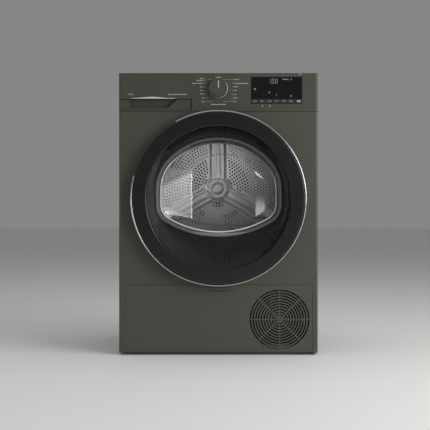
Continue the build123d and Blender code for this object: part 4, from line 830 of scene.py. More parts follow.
def makeGlassBowl():
    size = glassSizes
    front, shoulder = size["front"], size["shoulder"]
    depth = size["back"] - size["wall"] - front
    rim, end = windowPoints(size["rim"]), outlineOf(bowlShape)
    rings = [frameRing(size["flange"], front), frameRing(size["flangeInner"], front)]
    for a in quarter(size["roundSteps"]):   # rounded shoulder into the bowl
        rings.append(ringAt(mixOutlines(windowPoints(size["rim"] + shoulder), rim, math.sin(a)),
                            front + shoulder * (1 - math.cos(a))))
    fall = (depth - shoulder) / (1 - size["endRound"] / 2)
    for i in range(1, size["steps"] + 1):
        t = (1 - size["endRound"]) * i / size["steps"]
        rings.append(ringAt(bowlOutline(rim, end, t), front + shoulder + fall * t))
    for i in range(1, size["roundSteps"] + 1):   # small round where the slope meets the flat end
        s = i / size["roundSteps"]
        y = depth - fall * size["endRound"] / 2 * (1 - s) ** 2
        rings.append(ringAt(bowlOutline(rim, end, 1 - size["endRound"] * (1 - s)), front + y))
    middle = (bowlShape["x"], (bowlShape["sideTop"] + bowlShape["sideBottom"]) / 2)
    rings += [ringAt(mixOutlines(end, [middle] * len(end), t), front + depth) for t in size["endRings"]]
    points, faces = skin(rings)
    points.append((middle[0], front + depth, middle[1]))
    base = len(points) - 1 - len(end)
    faces += [(base + a, base + b, len(points) - 1) for a, b in loop(len(end))]
    bowl = walled(pieceFrom("windowBowl", points, faces), size["wall"], mergeGap)
    return smoothByAngle(bowl, size["smoothBelow"])


settle(makeGlassBowl(), "door", finishes["glass"], ["door_glass"])

beadSizes = {"radius": 0.0015, "in": -0.0147, "proud": 0.0002, "from": 122, "to": 22, "taperSteps": 14,
             "least": 0.25, "bottomSwell": 0.6, "sides": 8, "smoothBelow": 80}


def makeGlassBead():
    # bright edge of the bowl, from the upper left round the bottom to the right: a thin bead painted near white as
    # the highlight on the glass's rounded rim
    size = beadSizes
    kept = []
    for x, z in windowPoints(size["in"]):
        angle = math.degrees(math.atan2(z - doorZ, x)) % 360
        if angle >= size["from"] or angle <= size["to"]:
            kept.append((angle if angle >= size["from"] else angle + 360, x, z))
    kept.sort()
    y = glassSizes["front"] - size["proud"]
    last = len(kept) - 1
    rings = []
    for i, (angle, x, z) in enumerate(kept):
        ahead, behind = kept[min(i + 1, last)], kept[max(i - 1, 0)]
        along = Vector((ahead[1] - behind[1], 0, ahead[2] - behind[2])).normalized()
        across = Vector((along.z, 0, -along.x))
        taper = min(1.0, i / size["taperSteps"], (last - i) / size["taperSteps"])
        bottom = size["bottomSwell"] * max(0.0, -math.sin(math.radians(angle)))
        radius = size["radius"] * (size["least"] + (1 - size["least"]) * taper) * (1 + bottom)
        rings.append([Vector((x, y, z)) + across * a + Vector((0, 1, 0)) * b
                      for a, b in circle(0.0, 0.0, radius, size["sides"])])
    return smoothByAngle(outward(pieceFrom("glassBead", *cappedSkin(rings))), size["smoothBelow"])


# near-white finish painted as the highlight along the glass rim
glassEdgeHighlight = finish("glassEdgePaintedHighlight", linear(226, 228, 226), linear(210, 212, 210), scale=12, low=0.1, high=0.2,
                    grain=500, bump=0.01)
settle(makeGlassBead(), "door", glassEdgeHighlight)
print("glass bowl made")


# drum

drumSizes = {"radius": wallHigh.x, "face": wallLow.y, "spokeAngles": (90, 210, 330), "spokeHalf": 0.0195,
             "spokeFoot": 0.0295, "spokeRise": 0.0048, "spokeEnd": (0.228, 0.24), "ridge": (0.0035, 0.0055),
             "ridgeRise": 0.0011, "ridgeStart": (0.046, 0.06), "grooveAt": 0.012, "grooveHalf": 0.0022,
             "grooveDeep": 0.0009, "hub": (0.036, 0.05), "hubRise": 0.0053, "rimRise": 0.006, "rimWidth": 0.022,
             "eye": 0.004, "rimGap": 0.0002, "radialSteps": 60, "turnSteps": 360, "wall": 0.0011}


def drumRise(radius, angle):
    # how far the pressed back wall stands towards the door
    size = drumSizes
    rise = 0.0
    for spoke in size["spokeAngles"]:
        turn = math.radians(angle - spoke)
        along, aside = radius * math.cos(turn), abs(radius * math.sin(turn))
        if along < 0:
            continue
        body = 1 - smoothStep(size["spokeHalf"], size["spokeFoot"], aside)
        body *= 1 - smoothStep(*size["spokeEnd"], radius)
        ridge = size["ridgeRise"] * (1 - smoothStep(*size["ridge"], aside)) * smoothStep(*size["ridgeStart"], radius)
        groove = size["grooveDeep"] * math.exp(-((aside - size["grooveAt"]) / size["grooveHalf"]) ** 2)
        rise = max(rise, body * (size["spokeRise"] - groove) + body * ridge)
    rise = max(rise, (1 - smoothStep(*size["hub"], radius)) * size["hubRise"])
    rim = size["radius"] - size["rimWidth"]
    return max(rise, size["rimRise"] * smoothStep(rim, size["radius"], radius))


def drumPoint(radius, angle):
    a = math.radians(angle)
    return (radius * math.cos(a), drumSizes["face"] - drumRise(radius, angle), drumZ + radius * math.sin(a))


def makeDrumBack():
    size = drumSizes
    steps, turns = size["radialSteps"], size["turnSteps"]
    reach = size["radius"] - size["eye"] - size["rimGap"]
    rings = [[drumPoint(size["eye"] + reach * i / steps, 360 * k / turns) for k in range(turns)]
             for i in range(steps + 1)]
    points, faces = skin(rings)
    points.append((0.0, size["face"] - size["spokeRise"], drumZ))
    faces += [(a, b, len(points) - 1) for a, b in loop(turns)]
    back = walled(pieceFrom("drumBackPressing", points, faces), size["wall"])
    back.data.shade_smooth()
    return back


settle(makeDrumBack(), "drum", finishes["stainless"], ["drum_rear_wall"])

holeSizes = {"pitch": 0.0104, "rowRatio": 0.87, "inner": 0.05, "outer": 0.226, "spokeGap": 0.034, "bottomHalf": 60,
             "bareBand": (0.068, 0.09), "bareAngle": 262, "bareHalf": 20, "foot": 0.0036, "top": 0.0026,
             "lipHeight": 0.0006, "lipSink": 0.0002, "eyeHeight": 0.0003, "eyeRise": 0.00035, "eyeGap": 0.0001,
             "eyeTaper": 0.0002, "wideTo": 0.108, "wideBy": 0.0007}


def awayFrom(angle, other):
    return abs((angle - other + 180) % 360 - 180)


def holePlaces():
    # rings of holes between the spokes; two places in the bottom field stay bare
    size = holeSizes
    places = []
    row, radius = 0, size["inner"]
    while radius < size["outer"]:
        count = int(round(2 * math.pi * radius / size["pitch"]))
        for k in range(count):
            angle = 360 * (k + 0.5 * (row % 2)) / count
            nearest = min(awayFrom(angle, spoke) for spoke in drumSizes["spokeAngles"])
            low, high = size["bareBand"]
            bare = low < radius < high or awayFrom(angle, size["bareAngle"]) < size["bareHalf"] and radius > high
            if radius * math.sin(math.radians(min(nearest, 90))) < size["spokeGap"]:
                continue
            if not (awayFrom(angle, 270) < size["bottomHalf"] and bare):
                places.append((drumPoint(radius, angle), (0, -1, 0), (1, 0, 0)))
        row += 1
        radius += size["pitch"] * size["rowRatio"]
    return places


size = holeSizes
holes = holePlaces()
# the eyes are dark discs in each hole, painted as the shade seen through it
holeShade = finish("holeShade", linear(24, 24, 23), linear(18, 18, 18), scale=40, low=0.6, high=0.8, grain=500,
                   bump=0.1)
for label, inner, outer, wide in (("Hub", 0.0, size["wideTo"], size["wideBy"]), ("Drum", size["wideTo"], 1.0, 0.0)):
    chosen = [hole for hole in holes if inner <= math.hypot(hole[0][0], hole[0][2] - drumZ) < outer]
    top = size["top"] + wide
    settleStuds("hole%sLips" % label, "drum", "stainless", chosen, finishes["stainless"], Sides=10,
                Foot_radius=size["foot"] + wide, Top_radius=top, Height=size["lipHeight"], Sink=size["lipSink"])
    settleStuds("hole%sEyes" % label, "drum", "stainless", chosen, holeShade, Sides=10,
                Foot_radius=top - size["eyeGap"], Top_radius=top - size["eyeGap"] - size["eyeTaper"],
                Height=size["eyeHeight"], Sink=-size["eyeRise"])
print("drum back made with", len(holes), "holes")

hubSizes = {"back": boxOf("hub_cap")[1].y,
            "profile": ((0.038, 0.0), (0.0379, 0.0048), (0.0371, 0.0071), (0.0352, 0.0081), (0.0262, 0.0084),
                        (0.0226, 0.0083), (0.0208, 0.0072), (0.0196, 0.0072), (0.0178, 0.0094), (0.014, 0.0106),
                        (0.008, 0.011), (0.002, 0.011)),
            "sink": 0.0002, "rivet": 0.0019, "rivetRing": 0.0295, "rivetHeight": 0.0087, "rivetDepth": 0.0006}
latheSizes = {"turns": 72, "smoothBelow": 50}


def lathe(name, profile, z, back, count=latheSizes["turns"]):
    # profile: (radius, height towards the front)
    rings = [ringAt(circle(0.0, z, radius, count), back - height) for radius, height in profile]
    return smoothByAngle(outward(pieceFrom(name, *cappedSkin(rings))), latheSizes["smoothBelow"])


hub = lathe("hubCapDome", hubSizes["profile"], drumZ, hubSizes["back"] - hubSizes["sink"])
hubFinish = finish("hubCapSatin", linear(226, 227, 225), linear(198, 199, 197), scale=60, low=0.34, high=0.44,
                   grain=500, bump=0.05, shader={"Metallic": 0.85})
settle(hub, "drum", hubFinish, ["hub_cap"])
easedCopy("drum_lifters", width=0.004, segments=3, angle=25)
print("hub and lifters made")


# programme knob

knobSizes = {"radius": 0.0264, "face": knobLow.y, "back": knobHigh.y,
             "skirt": ((0.0004, 0.0), (0.0004, 0.0016), (0.0, 0.0026)), "draft": 0.0002, "edge": 0.0012,
             "edgeSteps": 5, "dish": 0.0005, "dishSteps": 8, "dishFrom": 0.9, "dishPitch": 0.11, "turns": 96,
             "pointerLength": 0.0222, "pointerWidth": 0.0017, "pointerFoot": -0.0012, "pointerRound": 0.0007,
             "pointerProud": 0.0001, "pointerDepth": 0.0008, "ringOuter": 0.0284, "ringInner": 0.0268,
             "ringRise": 0.0014, "ringSteps": 8, "smoothBelow": 60}


def makeKnob():
    # slim turned knob with a rolled edge and a faintly dished face
    size = knobSizes
    radius, edge = size["radius"], size["edge"]
    tall, side = size["back"] - size["face"], radius - size["draft"]
    profile = [(radius + grow, height) for grow, height in size["skirt"]] + [(side, tall - edge)]
    profile += [(side - edge * (1 - math.cos(a)), tall - edge * (1 - math.sin(a)))
                for a in quarter(size["edgeSteps"], 1)]
    profile += [(r, tall - size["dish"] * (1 - (r / radius) ** 2)) for r in
                [radius * (size["dishFrom"] - size["dishPitch"] * i) for i in range(size["dishSteps"])]]
    return lathe("programmeKnob", profile, knobZ, size["back"], size["turns"])


def makeDialRing():
    size = knobSizes
    outer, inner, back = size["ringOuter"], size["ringInner"], boxOf("dial_ring")[1].y
    middle, half, steps = (outer + inner) / 2, (outer - inner) / 2, size["ringSteps"]
    section = [(outer, back)]
    section += [(middle + half * math.cos(a), fasciaFront - size["ringRise"] * math.sin(a)) for a in
                [math.pi * i / steps for i in range(steps + 1)]]
    section += [(inner, back)]
    rings = [ringAt(circle(0.0, knobZ, radius, size["turns"]), y) for radius, y in section]
    return smoothByAngle(outward(pieceFrom("dialRing", *skin(rings, closedPath=True))), size["smoothBelow"])


settle(makeKnob(), "program_knob", finishes["fascia"], ["program_knob"])
settle(makeDialRing(), bodyOf["dial_ring"], dialFinish, ["dial_ring"])


def slab(name, outline, front, depth):
    # closed plate from an outline drawn as (x, z), its face at front
    count = len(outline)
    points = [(x, front, z) for x, z in outline] + [(x, front + depth, z) for x, z in outline]
    faces = [tuple(range(count)), tuple(range(2 * count - 1, count - 1, -1))]
    faces += [(a, b, b + count, a + count) for a, b in loop(count)]
    return outward(pieceFrom(name, points, faces, False))


def roundedRect(x0, z0, x1, z1, radius, steps=5):
    slack = 1e-5   # the straight sides keep a little length
    radius = min(radius, (x1 - x0) / 2 - slack, (z1 - z0) / 2 - slack)
    points = []
    for cx, cz, start in ((x1 - radius, z1 - radius, 0), (x0 + radius, z1 - radius, 90),
                          (x0 + radius, z0 + radius, 180), (x1 - radius, z0 + radius, 270)):
        for i in range(steps + 1):
            a = math.radians(start + 90 * i / steps)
            points.append((cx + radius * math.cos(a), cz + radius * math.sin(a)))
    return points


size = knobSizes
pointerHalf, pointerLow = size["pointerWidth"] / 2, knobZ + size["pointerFoot"]
pointer = slab("knobPointer", roundedRect(-pointerHalf, pointerLow, pointerHalf, pointerLow + size["pointerLength"],
                                          size["pointerRound"]), size["face"] - size["pointerProud"],
               size["pointerDepth"])
settle(pointer, "program_knob", whitePrint)


# printed marks

def joined(name, pieces):
    bm = bmesh.new()
    for piece in pieces:
        bm.from_mesh(piece.data)
        bpy.data.objects.remove(piece)
    mesh = bpy.data.meshes.new(name)
    bm.to_mesh(mesh)
    bm.free()
    return pieceFromMesh(name, mesh)


markSizes = {"proud": 0.0001, "depth": 0.0002, "figureScale": 1.38, "figureDepth": 0.0001, "figureSteps": 3,
             "barRound": 0.3, "ringSteps": 28, "discSteps": 18, "dropSteps": 24, "dropHalf": 0.36,
             "dropTaper": 0.45}


def figure(text, height, x, z, front, align="CENTER"):
    # plain numerals standing on the panel face
    curve = bpy.data.curves.new("figure", "FONT")
    curve.body = text
    curve.size = height * markSizes["figureScale"]
    curve.extrude = markSizes["figureDepth"]
    curve.resolution_u = markSizes["figureSteps"]
    curve.align_x = align
    curve.align_y = "CENTER"
    source = bpy.data.objects.new("figure", curve)
    bpy.context.scene.collection.objects.link(source)
    bpy.context.view_layer.update()
    mesh = bpy.data.meshes.new_from_object(source.evaluated_get(bpy.context.evaluated_depsgraph_get()))
    bpy.data.objects.remove(source)
    mesh.transform(Matrix.Translation((x, front, z)) @ Matrix.Rotation(math.pi / 2, 4, "X"))
    return outward(pieceFromMesh("figure", mesh))


def bar(x0, x1, z, height, front):
    x0, x1 = min(x0, x1), max(x0, x1)
    outline = roundedRect(x0, z - height / 2, x1, z + height / 2, height * markSizes["barRound"], 2)
    return slab("bar", outline, front, markSizes["depth"])


def ringMark(x, z, outer, inner, front, count=markSizes["ringSteps"]):
    depth = markSizes["depth"]
    section = [(outer, 0.0), (outer, depth), (inner, depth), (inner, 0.0)]
    rings = [ringAt(circle(x, z, radius, count), front + depth - height) for radius, height in section]
    points, faces = skin(rings, closedPath=True)
    return outward(pieceFrom("ringMark", points, faces, False))


def discMark(x, z, radius, front, depth=markSizes["depth"]):
    return slab("discMark", circle(x, z, radius, markSizes["discSteps"]), front, depth)


def dropMark(x, z, height, front):
    # a water drop, narrower towards its top
    points = []
    for side, rise in circle(0.0, 0.0, 1.0, markSizes["dropSteps"]):
        taper = 1 - markSizes["dropTaper"] * (1 + rise) / 2
        points.append((x + markSizes["dropHalf"] * height * side * taper, z + 0.5 * height * rise))
    return slab("dropMark", points, front, markSizes["depth"])


markKinds = {"bar": bar, "ring": ringMark, "disc": discMark, "drop": dropMark, "figure": figure}


def marksFrom(table, face):
    return [markKinds[kind](*place, face) for kind, *place in table]


# left, right: each position's number, its height above the floor, and how far its name bar reaches
# leaders: thin lines between the dial and the bars; bars and figures: as bar() and figure() take them
dialSizes = {"face": fasciaFront - markSizes["proud"], "leftEdge": -0.0404, "rightEdge": 0.0407, "figure": 0.0044,
             "bar": 0.0029, "barGap": 0.0022, "figureWidths": (0.0042, 0.0062), "dash": 0.0034, "dashGap": 0.0011,
             "dashLap": 0.001, "dashShares": (0.75, 0.875, 1.0, 1.125, 1.25),
             "left": ((15, 0.8298, 0.0155), (14, 0.8238, 0.0285), (13, 0.8149, 0.039), (12, 0.8044, 0.018),
                      (11, 0.7939, 0.0175), (10, 0.7834, 0.015), (9, 0.7714, 0.009), (8, 0.76, 0.0095)),
             "right": ((1, 0.8269, 0.021), (2, 0.8149, 0.048), (3, 0.805, 0.018), (4, 0.7939, 0.015),
                       (5, 0.7819, 0.012), (6, 0.7714, 0.0165), (7, 0.7609, 0.0165)),
             "leader": 0.0006, "leaders": ((-0.0345, -0.0165, 0.8269), (0.0137, 0.041, 0.8269),
                                           (-0.0375, -0.0135, 0.7609), (0.0137, 0.0395, 0.7609)),
             "shortLeaders": (0.8149, 0.8044, 0.7939, 0.7834, 0.7714), "shortLeader": (0.0332, 0.0372),
             "others": (("figure", "0", 0.0046, 0.0, 0.8385), ("bar", -0.0095, 0.0095, 0.833, 0.0022),
                        ("bar", -0.0225, -0.008, 0.7519, 0.0026), ("bar", -0.0065, 0.0035, 0.7519, 0.0026),
                        ("bar", 0.005, 0.0225, 0.7519, 0.0026))}


def nameDashes(number, edge, sign, z, reach):
    # dashes of uneven length in place of a programme's name
    size = dialSizes
    dash = edge + sign * size["figureWidths"][number > 9] + sign * size["barGap"] / 2
    end = edge + sign * reach
    marks = []
    while abs(dash - edge) + size["dash"] < reach + size["dashLap"]:
        share = size["dashShares"][(len(marks) * 7 + number * 3) % len(size["dashShares"])]
        piece = min(size["dash"] * share, abs(end - dash))
        marks.append(bar(dash, dash + sign * piece, z, size["bar"], size["face"]))
        dash += sign * (piece + size["dashGap"])
    return marks


def makeDialPrint():
    size = dialSizes
    face = size["face"]
    marks = []
    for side, edge, align, sign in (("left", size["leftEdge"], "RIGHT", -1), ("right", size["rightEdge"], "LEFT", 1)):
        for number, z, reach in size[side]:
            marks.append(figure(str(number), size["figure"], edge, z, face, align))
            marks += nameDashes(number, edge, sign, z, reach)
    marks += [bar(x0, x1, z, size["leader"], face) for x0, x1, z in size["leaders"]]
    near, far = size["shortLeader"]
    for z in size["shortLeaders"]:
        marks += [bar(x0, x1, z, size["leader"], face) for x0, x1 in ((-far, -near), (near, far))]
    return joined("dialPrint", marks + marksFrom(size["others"], face))


settle(makeDialPrint(), "cabinet", greyPrint)
print("dial marks made")


displaySizes = {"face": displayLow.y - markSizes["proud"], "digitWidth": 0.0066, "digitHeight": 0.0148,
                "stroke": 0.0015, "strokeRound": 0.0004, "digitX": (0.1535, 0.1635, 0.1735), "digitZ": 0.8218,
                "bandLow": 0.7548, "bandHigh": 0.7685, "bandInset": 0.0012, "bandBelow": 0.0008, "bandProud": 0.0002,
                "bandDepth": 0.0006, "keyProud": 0.0003, "keys": (0.109, 0.131, 0.1525, 0.1738, 0.1958, 0.2173),
                "startKey": 0.2395,
                "signs": (("disc", 0.195, 0.8272, 0.0023), ("bar", 0.1985, 0.2045, 0.8272, 0.0026),
                          ("ring", 0.2076, 0.8272, 0.0024, 0.0013), ("bar", 0.2165, 0.2195, 0.8265, 0.0042),
                          ("ring", 0.1096, 0.7978, 0.003, 0.0016), ("disc", 0.1096, 0.7978, 0.0009),
                          ("drop", 0.1525, 0.7882, 0.0062), ("bar", 0.1733, 0.1749, 0.7804, 0.0052),
                          ("ring", 0.2177, 0.7774, 0.0026, 0.0014)),
                "underKeys": (("drop", 0.1318, 0.7477, 0.0056), ("ring", 0.1535, 0.7477, 0.0026, 0.0015),
                              ("bar", 0.2408, 0.2485, 0.8422, 0.0018))}
# on each key: a ring, then two bars; uneven: how much each next key's bars differ
keySizes = {"ringX": -0.0028, "ringOuter": 0.0031, "ringInner": 0.0021, "ringSteps": 20, "barX": 0.0014,
            "upperEnd": 0.0074, "lowerEnd": 0.0056, "uneven": 0.001, "upperZ": 0.0013, "lowerZ": -0.0014,
            "bar": 0.0013, "arrow": ((-0.0034, -0.0034), (0.0016, 0.0), (-0.0034, 0.0034)),
            "pauseBars": ((0.0024, 0.0036), (0.0048, 0.006)), "pauseHeight": 0.0066}


def sevenSegments(digit, x, z):
    size = displaySizes
    w, h, s = size["digitWidth"] / 2, size["digitHeight"] / 2, size["stroke"]
    lit = {"0": "abcdef", "1": "bc"}[digit]
    boxes = {"a": (-w + s, h - s, w - s, h), "d": (-w + s, -h, w - s, -h + s), "f": (-w, s / 3, -w + s, h - s / 3),
             "b": (w - s, s / 3, w, h - s / 3), "e": (-w, -h + s / 3, -w + s, -s / 3),
             "c": (w - s, -h + s / 3, w, -s / 3)}
    return [slab("segment", roundedRect(x + b[0], z + b[1], x + b[2], z + b[3], size["strokeRound"], 2), size["face"],
                 markSizes["depth"]) for key, b in boxes.items() if key in lit]


def makeDisplayMarks():
    size = displaySizes
    marks = []
    for digit, x in zip("100", size["digitX"]):
        marks += sevenSegments(digit, x, size["digitZ"])
    return joined("displayMarks", marks + marksFrom(size["signs"], size["face"]))


keyFace = displaySizes["face"] - displaySizes["keyProud"]
keyZ = (displaySizes["bandLow"] + displaySizes["bandHigh"]) / 2


def makeKeyMarks():
    size = keySizes
    marks = []
    for i, x in enumerate(displaySizes["keys"]):
        uneven = size["uneven"] * (i % 3)
        marks += [ringMark(x + size["ringX"], keyZ, size["ringOuter"], size["ringInner"], keyFace, size["ringSteps"]),
                  bar(x + size["barX"], x + size["upperEnd"] - uneven, keyZ + size["upperZ"], size["bar"], keyFace),
                  bar(x + size["barX"], x + size["lowerEnd"] + uneven, keyZ + size["lowerZ"], size["bar"], keyFace)]
    return joined("keyMarks", marks)


def makeStartMark():
    size = keySizes
    x = displaySizes["startKey"]
    marks = [slab("arrow", [(x + dx, keyZ + dz) for dx, dz in size["arrow"]], keyFace, markSizes["depth"])]
    marks += [bar(x + x0, x + x1, keyZ, size["pauseHeight"], keyFace) for x0, x1 in size["pauseBars"]]
    return joined("startMark", marks)


size = displaySizes
band = slab("touchKeyBand", roundedRect(displayLow.x + size["bandInset"], size["bandLow"] - size["bandBelow"],
                                        displayHigh.x - size["bandInset"], size["bandHigh"], size["bandInset"]),
            size["face"] - size["bandProud"], size["bandDepth"])
bandFinish = finish("touchKeyBand", linear(42, 42, 42), linear(37, 37, 38), scale=9, low=0.16, high=0.24, grain=600,
                    bump=0.02)
settle(band, "cabinet", bandFinish)
litFinish = finish("litDigits", linear(136, 138, 138), linear(124, 126, 127), scale=60, low=0.3, high=0.4, grain=600,
                   bump=0.02)
settle(makeDisplayMarks(), "cabinet", litFinish)
settle(makeKeyMarks(), "cabinet", litFinish)
settle(makeStartMark(), "cabinet", whitePrint)
settle(joined("underKeyMarks", marksFrom(size["underKeys"], dialSizes["face"])), "cabinet", greyPrint)

tankFace = boxOf("tank_drawer_front")[0].y
# a drop and a row of dashes at the right, a figure and a dash at the left
tankMarkSizes = {"start": -0.1436, "z": 0.7819, "bar": 0.0024, "gap": 0.0012,
                 "widths": (0.0068, 0.0034, 0.0096, 0.0052, 0.0078, 0.0104),
                 "drop": ("drop", -0.1482, 0.7819, 0.0062),
                 "others": (("figure", "8", 0.0046, -0.2695, 0.7822), ("bar", -0.2655, -0.2565, 0.7822, 0.0024))}


def makeTankMarks():
    size = tankMarkSizes
    face = tankFace - markSizes["proud"]
    marks = marksFrom([size["drop"]], face)
    x = size["start"]
    for width in size["widths"]:
        marks.append(bar(x, x + width, size["z"], size["bar"], face))
        x += width + size["gap"]
    return joined("tankMarks", marks + marksFrom(size["others"], face))


settle(makeTankMarks(), "tank_drawer", greyPrint)

lipSizes = {"left": -0.267, "right": -0.122, "z": 0.7722, "tall": 0.0052, "rise": 0.0012, "steps": 60,
            "full": 0.7, "fullAt": -0.2, "fullHalf": 0.032, "ends": 0.1, "least": 0.04, "sectionSteps": 8,
            "proud": 0.00005, "sink": 0.0006, "smoothBelow": 50}


def makeDrawerLip():
    # swell along the top of the finger pocket, fullest in its middle, painted light as its highlight
    size = lipSizes
    low, steps = size["z"] - size["tall"] / 2, size["sectionSteps"]
    rings = []
    for i in range(size["steps"] + 1):
        t = i / size["steps"]
        x = size["left"] + (size["right"] - size["left"]) * t
        full = 1 - size["full"] + size["full"] * math.exp(-((x - size["fullAt"]) / size["fullHalf"]) ** 2)
        full *= min(1.0, smoothStep(0, size["ends"], t), smoothStep(0, size["ends"], 1 - t))
        tall = size["tall"] * max(size["least"], full)
        ring = [(x, tankFace - size["rise"] * full * math.sin(math.pi * k / steps) - size["proud"],
                 low + tall * k / steps) for k in range(steps + 1)]
        rings.append(ring + [(x, tankFace + size["sink"], low + tall), (x, tankFace + size["sink"], low)])
    return smoothByAngle(outward(pieceFrom("drawerLip", *cappedSkin(rings))), size["smoothBelow"])


stepShadeSizes = {"low": 0.7668, "high": 0.7689, "ends": ((-0.2975, -0.2685), (-0.1215, -0.0815)), "back": 0.0038,
                  "depth": 0.0005, "round": 0.0004}


def makeStepShade():
    # dark strips painted as the shade under the drawer's step, either side of the pocket
    size = stepShadeSizes
    return joined("stepShade", [slab("shade", roundedRect(x0, size["low"], x1, size["high"], size["round"], 2),
                                     tankFace + size["back"], size["depth"]) for x0, x1 in size["ends"]])


# painted shade under the drawer's step
settle(makeStepShade(), "tank_drawer", seamShade)
# light finish painted as the highlight on the pocket's top edge
drawerLipHighlight = finish("drawerLipPaintedHighlight", linear(196, 197, 192), linear(184, 185, 180), scale=20, low=0.25, high=0.35,
                   grain=700, bump=0.02)
settle(makeDrawerLip(), "tank_drawer", drawerLipHighlight)
print("display and tank marks made")


# small pieces of the lower front

buttonSizes = {"flange": 0.004, "top": 0.0022, "gap": 0.0009, "shade": 0.0024, "proud": 0.0001, "corner": 0.0025,
               "cornerSteps": 6, "depth": 0.0004}
flapLow, flapHigh = boxOf("service_flap")


def makeButtonShade():
    # dark strip painted as the shade in the gap round the flap's button, open at the top where the seam runs
    size = buttonSizes
    low, high = boxOf("flap_button")
    top = flapHigh.z - size["top"]
    sides = []
    for grow in (size["shade"], size["gap"]):
        left, right = low.x + size["flange"] - grow, high.x - size["flange"] + grow
        foot, radius = low.z + size["flange"] - grow, size["corner"] + grow
        half = [(left, top)]
        half += arcPoints((left + radius, foot + radius), radius, math.pi, math.pi / 2, size["cornerSteps"])
        half += arcPoints((right - radius, foot + radius), radius, 1.5 * math.pi, math.pi / 2, size["cornerSteps"])
        sides.append(half + [(right, foot + radius), (right, top)])
    return slab("buttonShade", sides[0] + sides[1][::-1], flapLow.y - size["proud"], size["depth"])


# painted shade in the gap round the flap's button
settle(makeButtonShade(), "service_flap", seamShade)

size = hubSizes
# dark discs at the hub's rivets, in the same painted shade as the holes
rivets = [discMark(size["rivetRing"] * math.cos(a), drumZ + size["rivetRing"] * math.sin(a), size["rivet"],
                   size["back"] - size["rivetHeight"], size["rivetDepth"])
          for a in [math.radians(angle) for angle in drumSizes["spokeAngles"]]]
settle(joined("hubRivets", rivets), "drum", holeShade)

cornerSizes = {"flapRadius": 0.01, "gap": 0.0006, "lap": 0.0008, "thick": 0.001, "steps": 8}


def makePanelCorners():
    # the panel follows the flap's rounded corners
    size = cornerSizes
    outer, reach = size["gap"] + size["lap"], size["flapRadius"] + size["gap"]
    webs = []
    for side in (-1, 1):
        half = flapHigh.x if side > 0 else -flapLow.x
        outline = [(side * (half + outer), flapHigh.z + outer),
                   (side * (half + outer), flapHigh.z - size["flapRadius"])]
        outline += [(side * (half - size["flapRadius"] + reach * math.cos(a)),
                     flapHigh.z - size["flapRadius"] + reach * math.sin(a)) for a in quarter(size["steps"])]
        outline.append((side * (half - size["flapRadius"]), flapHigh.z + outer))
        webs.append(slab("web", outline, panelFront, size["thick"]))
    return joined("panelCorners", webs)


settle(makePanelCorners(), "cabinet", finishes["paint"])

flangeSizes = {"gap": 0.0005, "behind": 0.001, "thick": 0.002, "top": 0.045, "lap": 0.0005}


def makeFootFlanges():
    # upright flanges that close the cabinet between the tray and the side panels
    size = flangeSizes
    inner, outer = flapHigh.x + size["gap"], boxOf("side_panel_right")[0].x + size["lap"]
    foot, top = boxOf("base_tray")[0].z, size["top"]
    return joined("footFlanges", [
        slab("flange", [(side * inner, foot), (side * outer, foot), (side * outer, top), (side * inner, top)],
             panelHigh.y + size["behind"], size["thick"]) for side in (-1, 1)])


settle(makeFootFlanges(), "cabinet", finishes[slotOf["base_tray"]])
print("lower front is finished")


# screws on the back

def screwPlaces():
    # the middle of each screw head, found as the separate islands of the screws' mesh
    bm = bmesh.new()
    bm.from_mesh(nodes["cabinet_screws"].data)
    bmesh.ops.remove_doubles(bm, verts=bm.verts, dist=easedSizes["merge"])
    heads, seen = [], set()
    for vert in bm.verts:
        if vert in seen:
            continue
        stack, island = [vert], []
        seen.add(vert)
        while stack:
            one = stack.pop()
            island.append(one.co.copy())
            for edge in one.link_edges:
                other = edge.other_vert(one)
                if other not in seen:
                    seen.add(other)
                    stack.append(other)
        heads.append((sum(p.x for p in island) / len(island), max(p.y for p in island),
                      sum(p.z for p in island) / len(island)))
    bm.free()
    return heads


crossSizes = {"foot": 0.0022, "top": 0.0019, "height": 0.0002, "stretch": (1.2, 0.28, 1.0)}
size = crossSizes
# dark crosses on the screw heads, painted as the shade in their cross recesses
crossPlaces = [(place, (0, 1, 0), along) for place in screwPlaces() for along in ((1, 0, 0), (0, 0, 1))]
settleStuds("screwCrossShades", "cabinet", "zinc", crossPlaces, seamShade, Sides=4, Foot_radius=size["foot"],
            Top_radius=size["top"], Height=size["height"], Sink=0.0, Turn=math.pi / 4, Stretch=size["stretch"])


# camera, lamps and floor

cameraSizes = {"distance": 3.2365, "x": -0.01035, "z": 0.4204, "frameWidth": 1.2902, "sensor": 36.0}
size = cameraSizes
camera = bpy.data.objects.new("camera", bpy.data.cameras.new("camera"))
bpy.context.scene.collection.objects.link(camera)
camera.location = (size["x"], panelFront - size["distance"], size["z"])
camera.rotation_euler = (math.pi / 2, 0, 0)
camera.data.sensor_width = size["sensor"]
camera.data.lens = size["sensor"] * size["distance"] / size["frameWidth"]
bpy.context.scene.camera = camera


def mathStep(tree, kind, first, second):
    return node(tree, "ShaderNodeMath", {0: first, 1: second}, operation=kind).outputs[0]


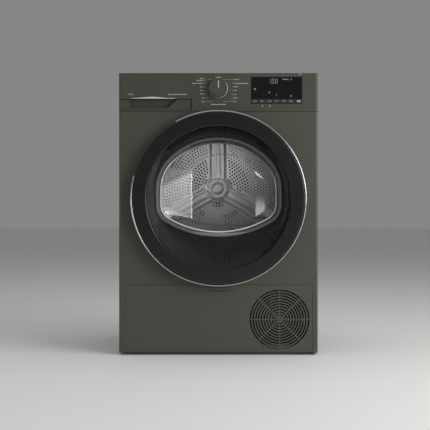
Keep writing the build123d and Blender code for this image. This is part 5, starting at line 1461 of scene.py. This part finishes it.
def softEdges(light, fade):
    # the lamp grows dim towards its edges, by these shares of its width and height
    light.data.use_nodes = True
    tree = light.data.node_tree
    place = node(tree, "ShaderNodeNewGeometry").outputs["Parametric"]
    axes = node(tree, "ShaderNodeSeparateXYZ", {0: place})
    strength = 1.0
    for axis, share in zip("XY", fade):
        far = mathStep(tree, "ABSOLUTE", mathStep(tree, "SUBTRACT", axes.outputs[axis], 0.5), 0.0)
        ramp = node(tree, "ShaderNodeMapRange", {"Value": far, "From Min": 0.5, "From Max": 0.5 - share},
                    interpolation_type="SMOOTHSTEP")
        strength = mathStep(tree, "MULTIPLY", strength, ramp.outputs[0])
    wire(tree, tree.nodes["Emission"], {"Strength": strength})


# place, the point it looks at, width, height, power in watts, and how far its edges fade
lamps = {
    "rightBox": ((2.3, -1.4, 1.3), (0.1, -0.2, 1.3), 1.6, 2.5, 50, (0.06, 0.3)),
    "leftBox": ((-2.3, -1.55, 0.295), (0.12, -0.2, 0.295), 0.8, 0.49, 8.6, (0.3, 0.3)),
    "frontFill": ((2.25, -2.9, 1.15), (0, -0.3, 0.5), 1.1, 1.7, 43, None),
    "leftFill": ((-1.5, -3.2, 1.5), (0, -0.3, 0.4), 0.9, 1.2, 0.5, None),
    "overhead": ((0.3, -1.2, 4.6), (0.3, -1.2, 0), 6.0, 6.0, 78, None),
    "drumLamp": ((-0.015, -0.14, 0.625), (-0.01, 0.2238, 0.62), 0.26, 0.18, 0.114, None),
}
for name, (place, aim, width, height, power, fade) in lamps.items():
    light = bpy.data.objects.new(name, bpy.data.lights.new(name, "AREA"))
    light.data.shape = "RECTANGLE"
    light.data.size = width
    light.data.size_y = height
    light.data.energy = power
    light.location = place
    light.rotation_euler = (Vector(aim) - Vector(place)).to_track_quat("-Z", "Y").to_euler()
    light.visible_camera = False
    if fade:
        softEdges(light, fade)
    bpy.context.scene.collection.objects.link(light)
print(len(lamps), "lamps are lit")

floorSize = 30.0
floor = pieceFrom("studioFloor", [(-floorSize, -floorSize, 0), (floorSize, -floorSize, 0),
                                  (floorSize, floorSize, 0), (-floorSize, floorSize, 0)], [(0, 1, 2, 3)], False)
floor.data.materials.append(finish("paleFloor", (0.88, 0.88, 0.87, 1), (0.85, 0.85, 0.84, 1), scale=3, low=0.6,
                                   high=0.7, grain=80, bump=0.02))
world = bpy.data.worlds.new("studio")
bpy.context.scene.world = world
world.use_nodes = True
world.node_tree.nodes["Background"].inputs["Color"].default_value = (0.24, 0.24, 0.24, 1)
bpy.context.scene.view_settings.view_transform = "Standard"
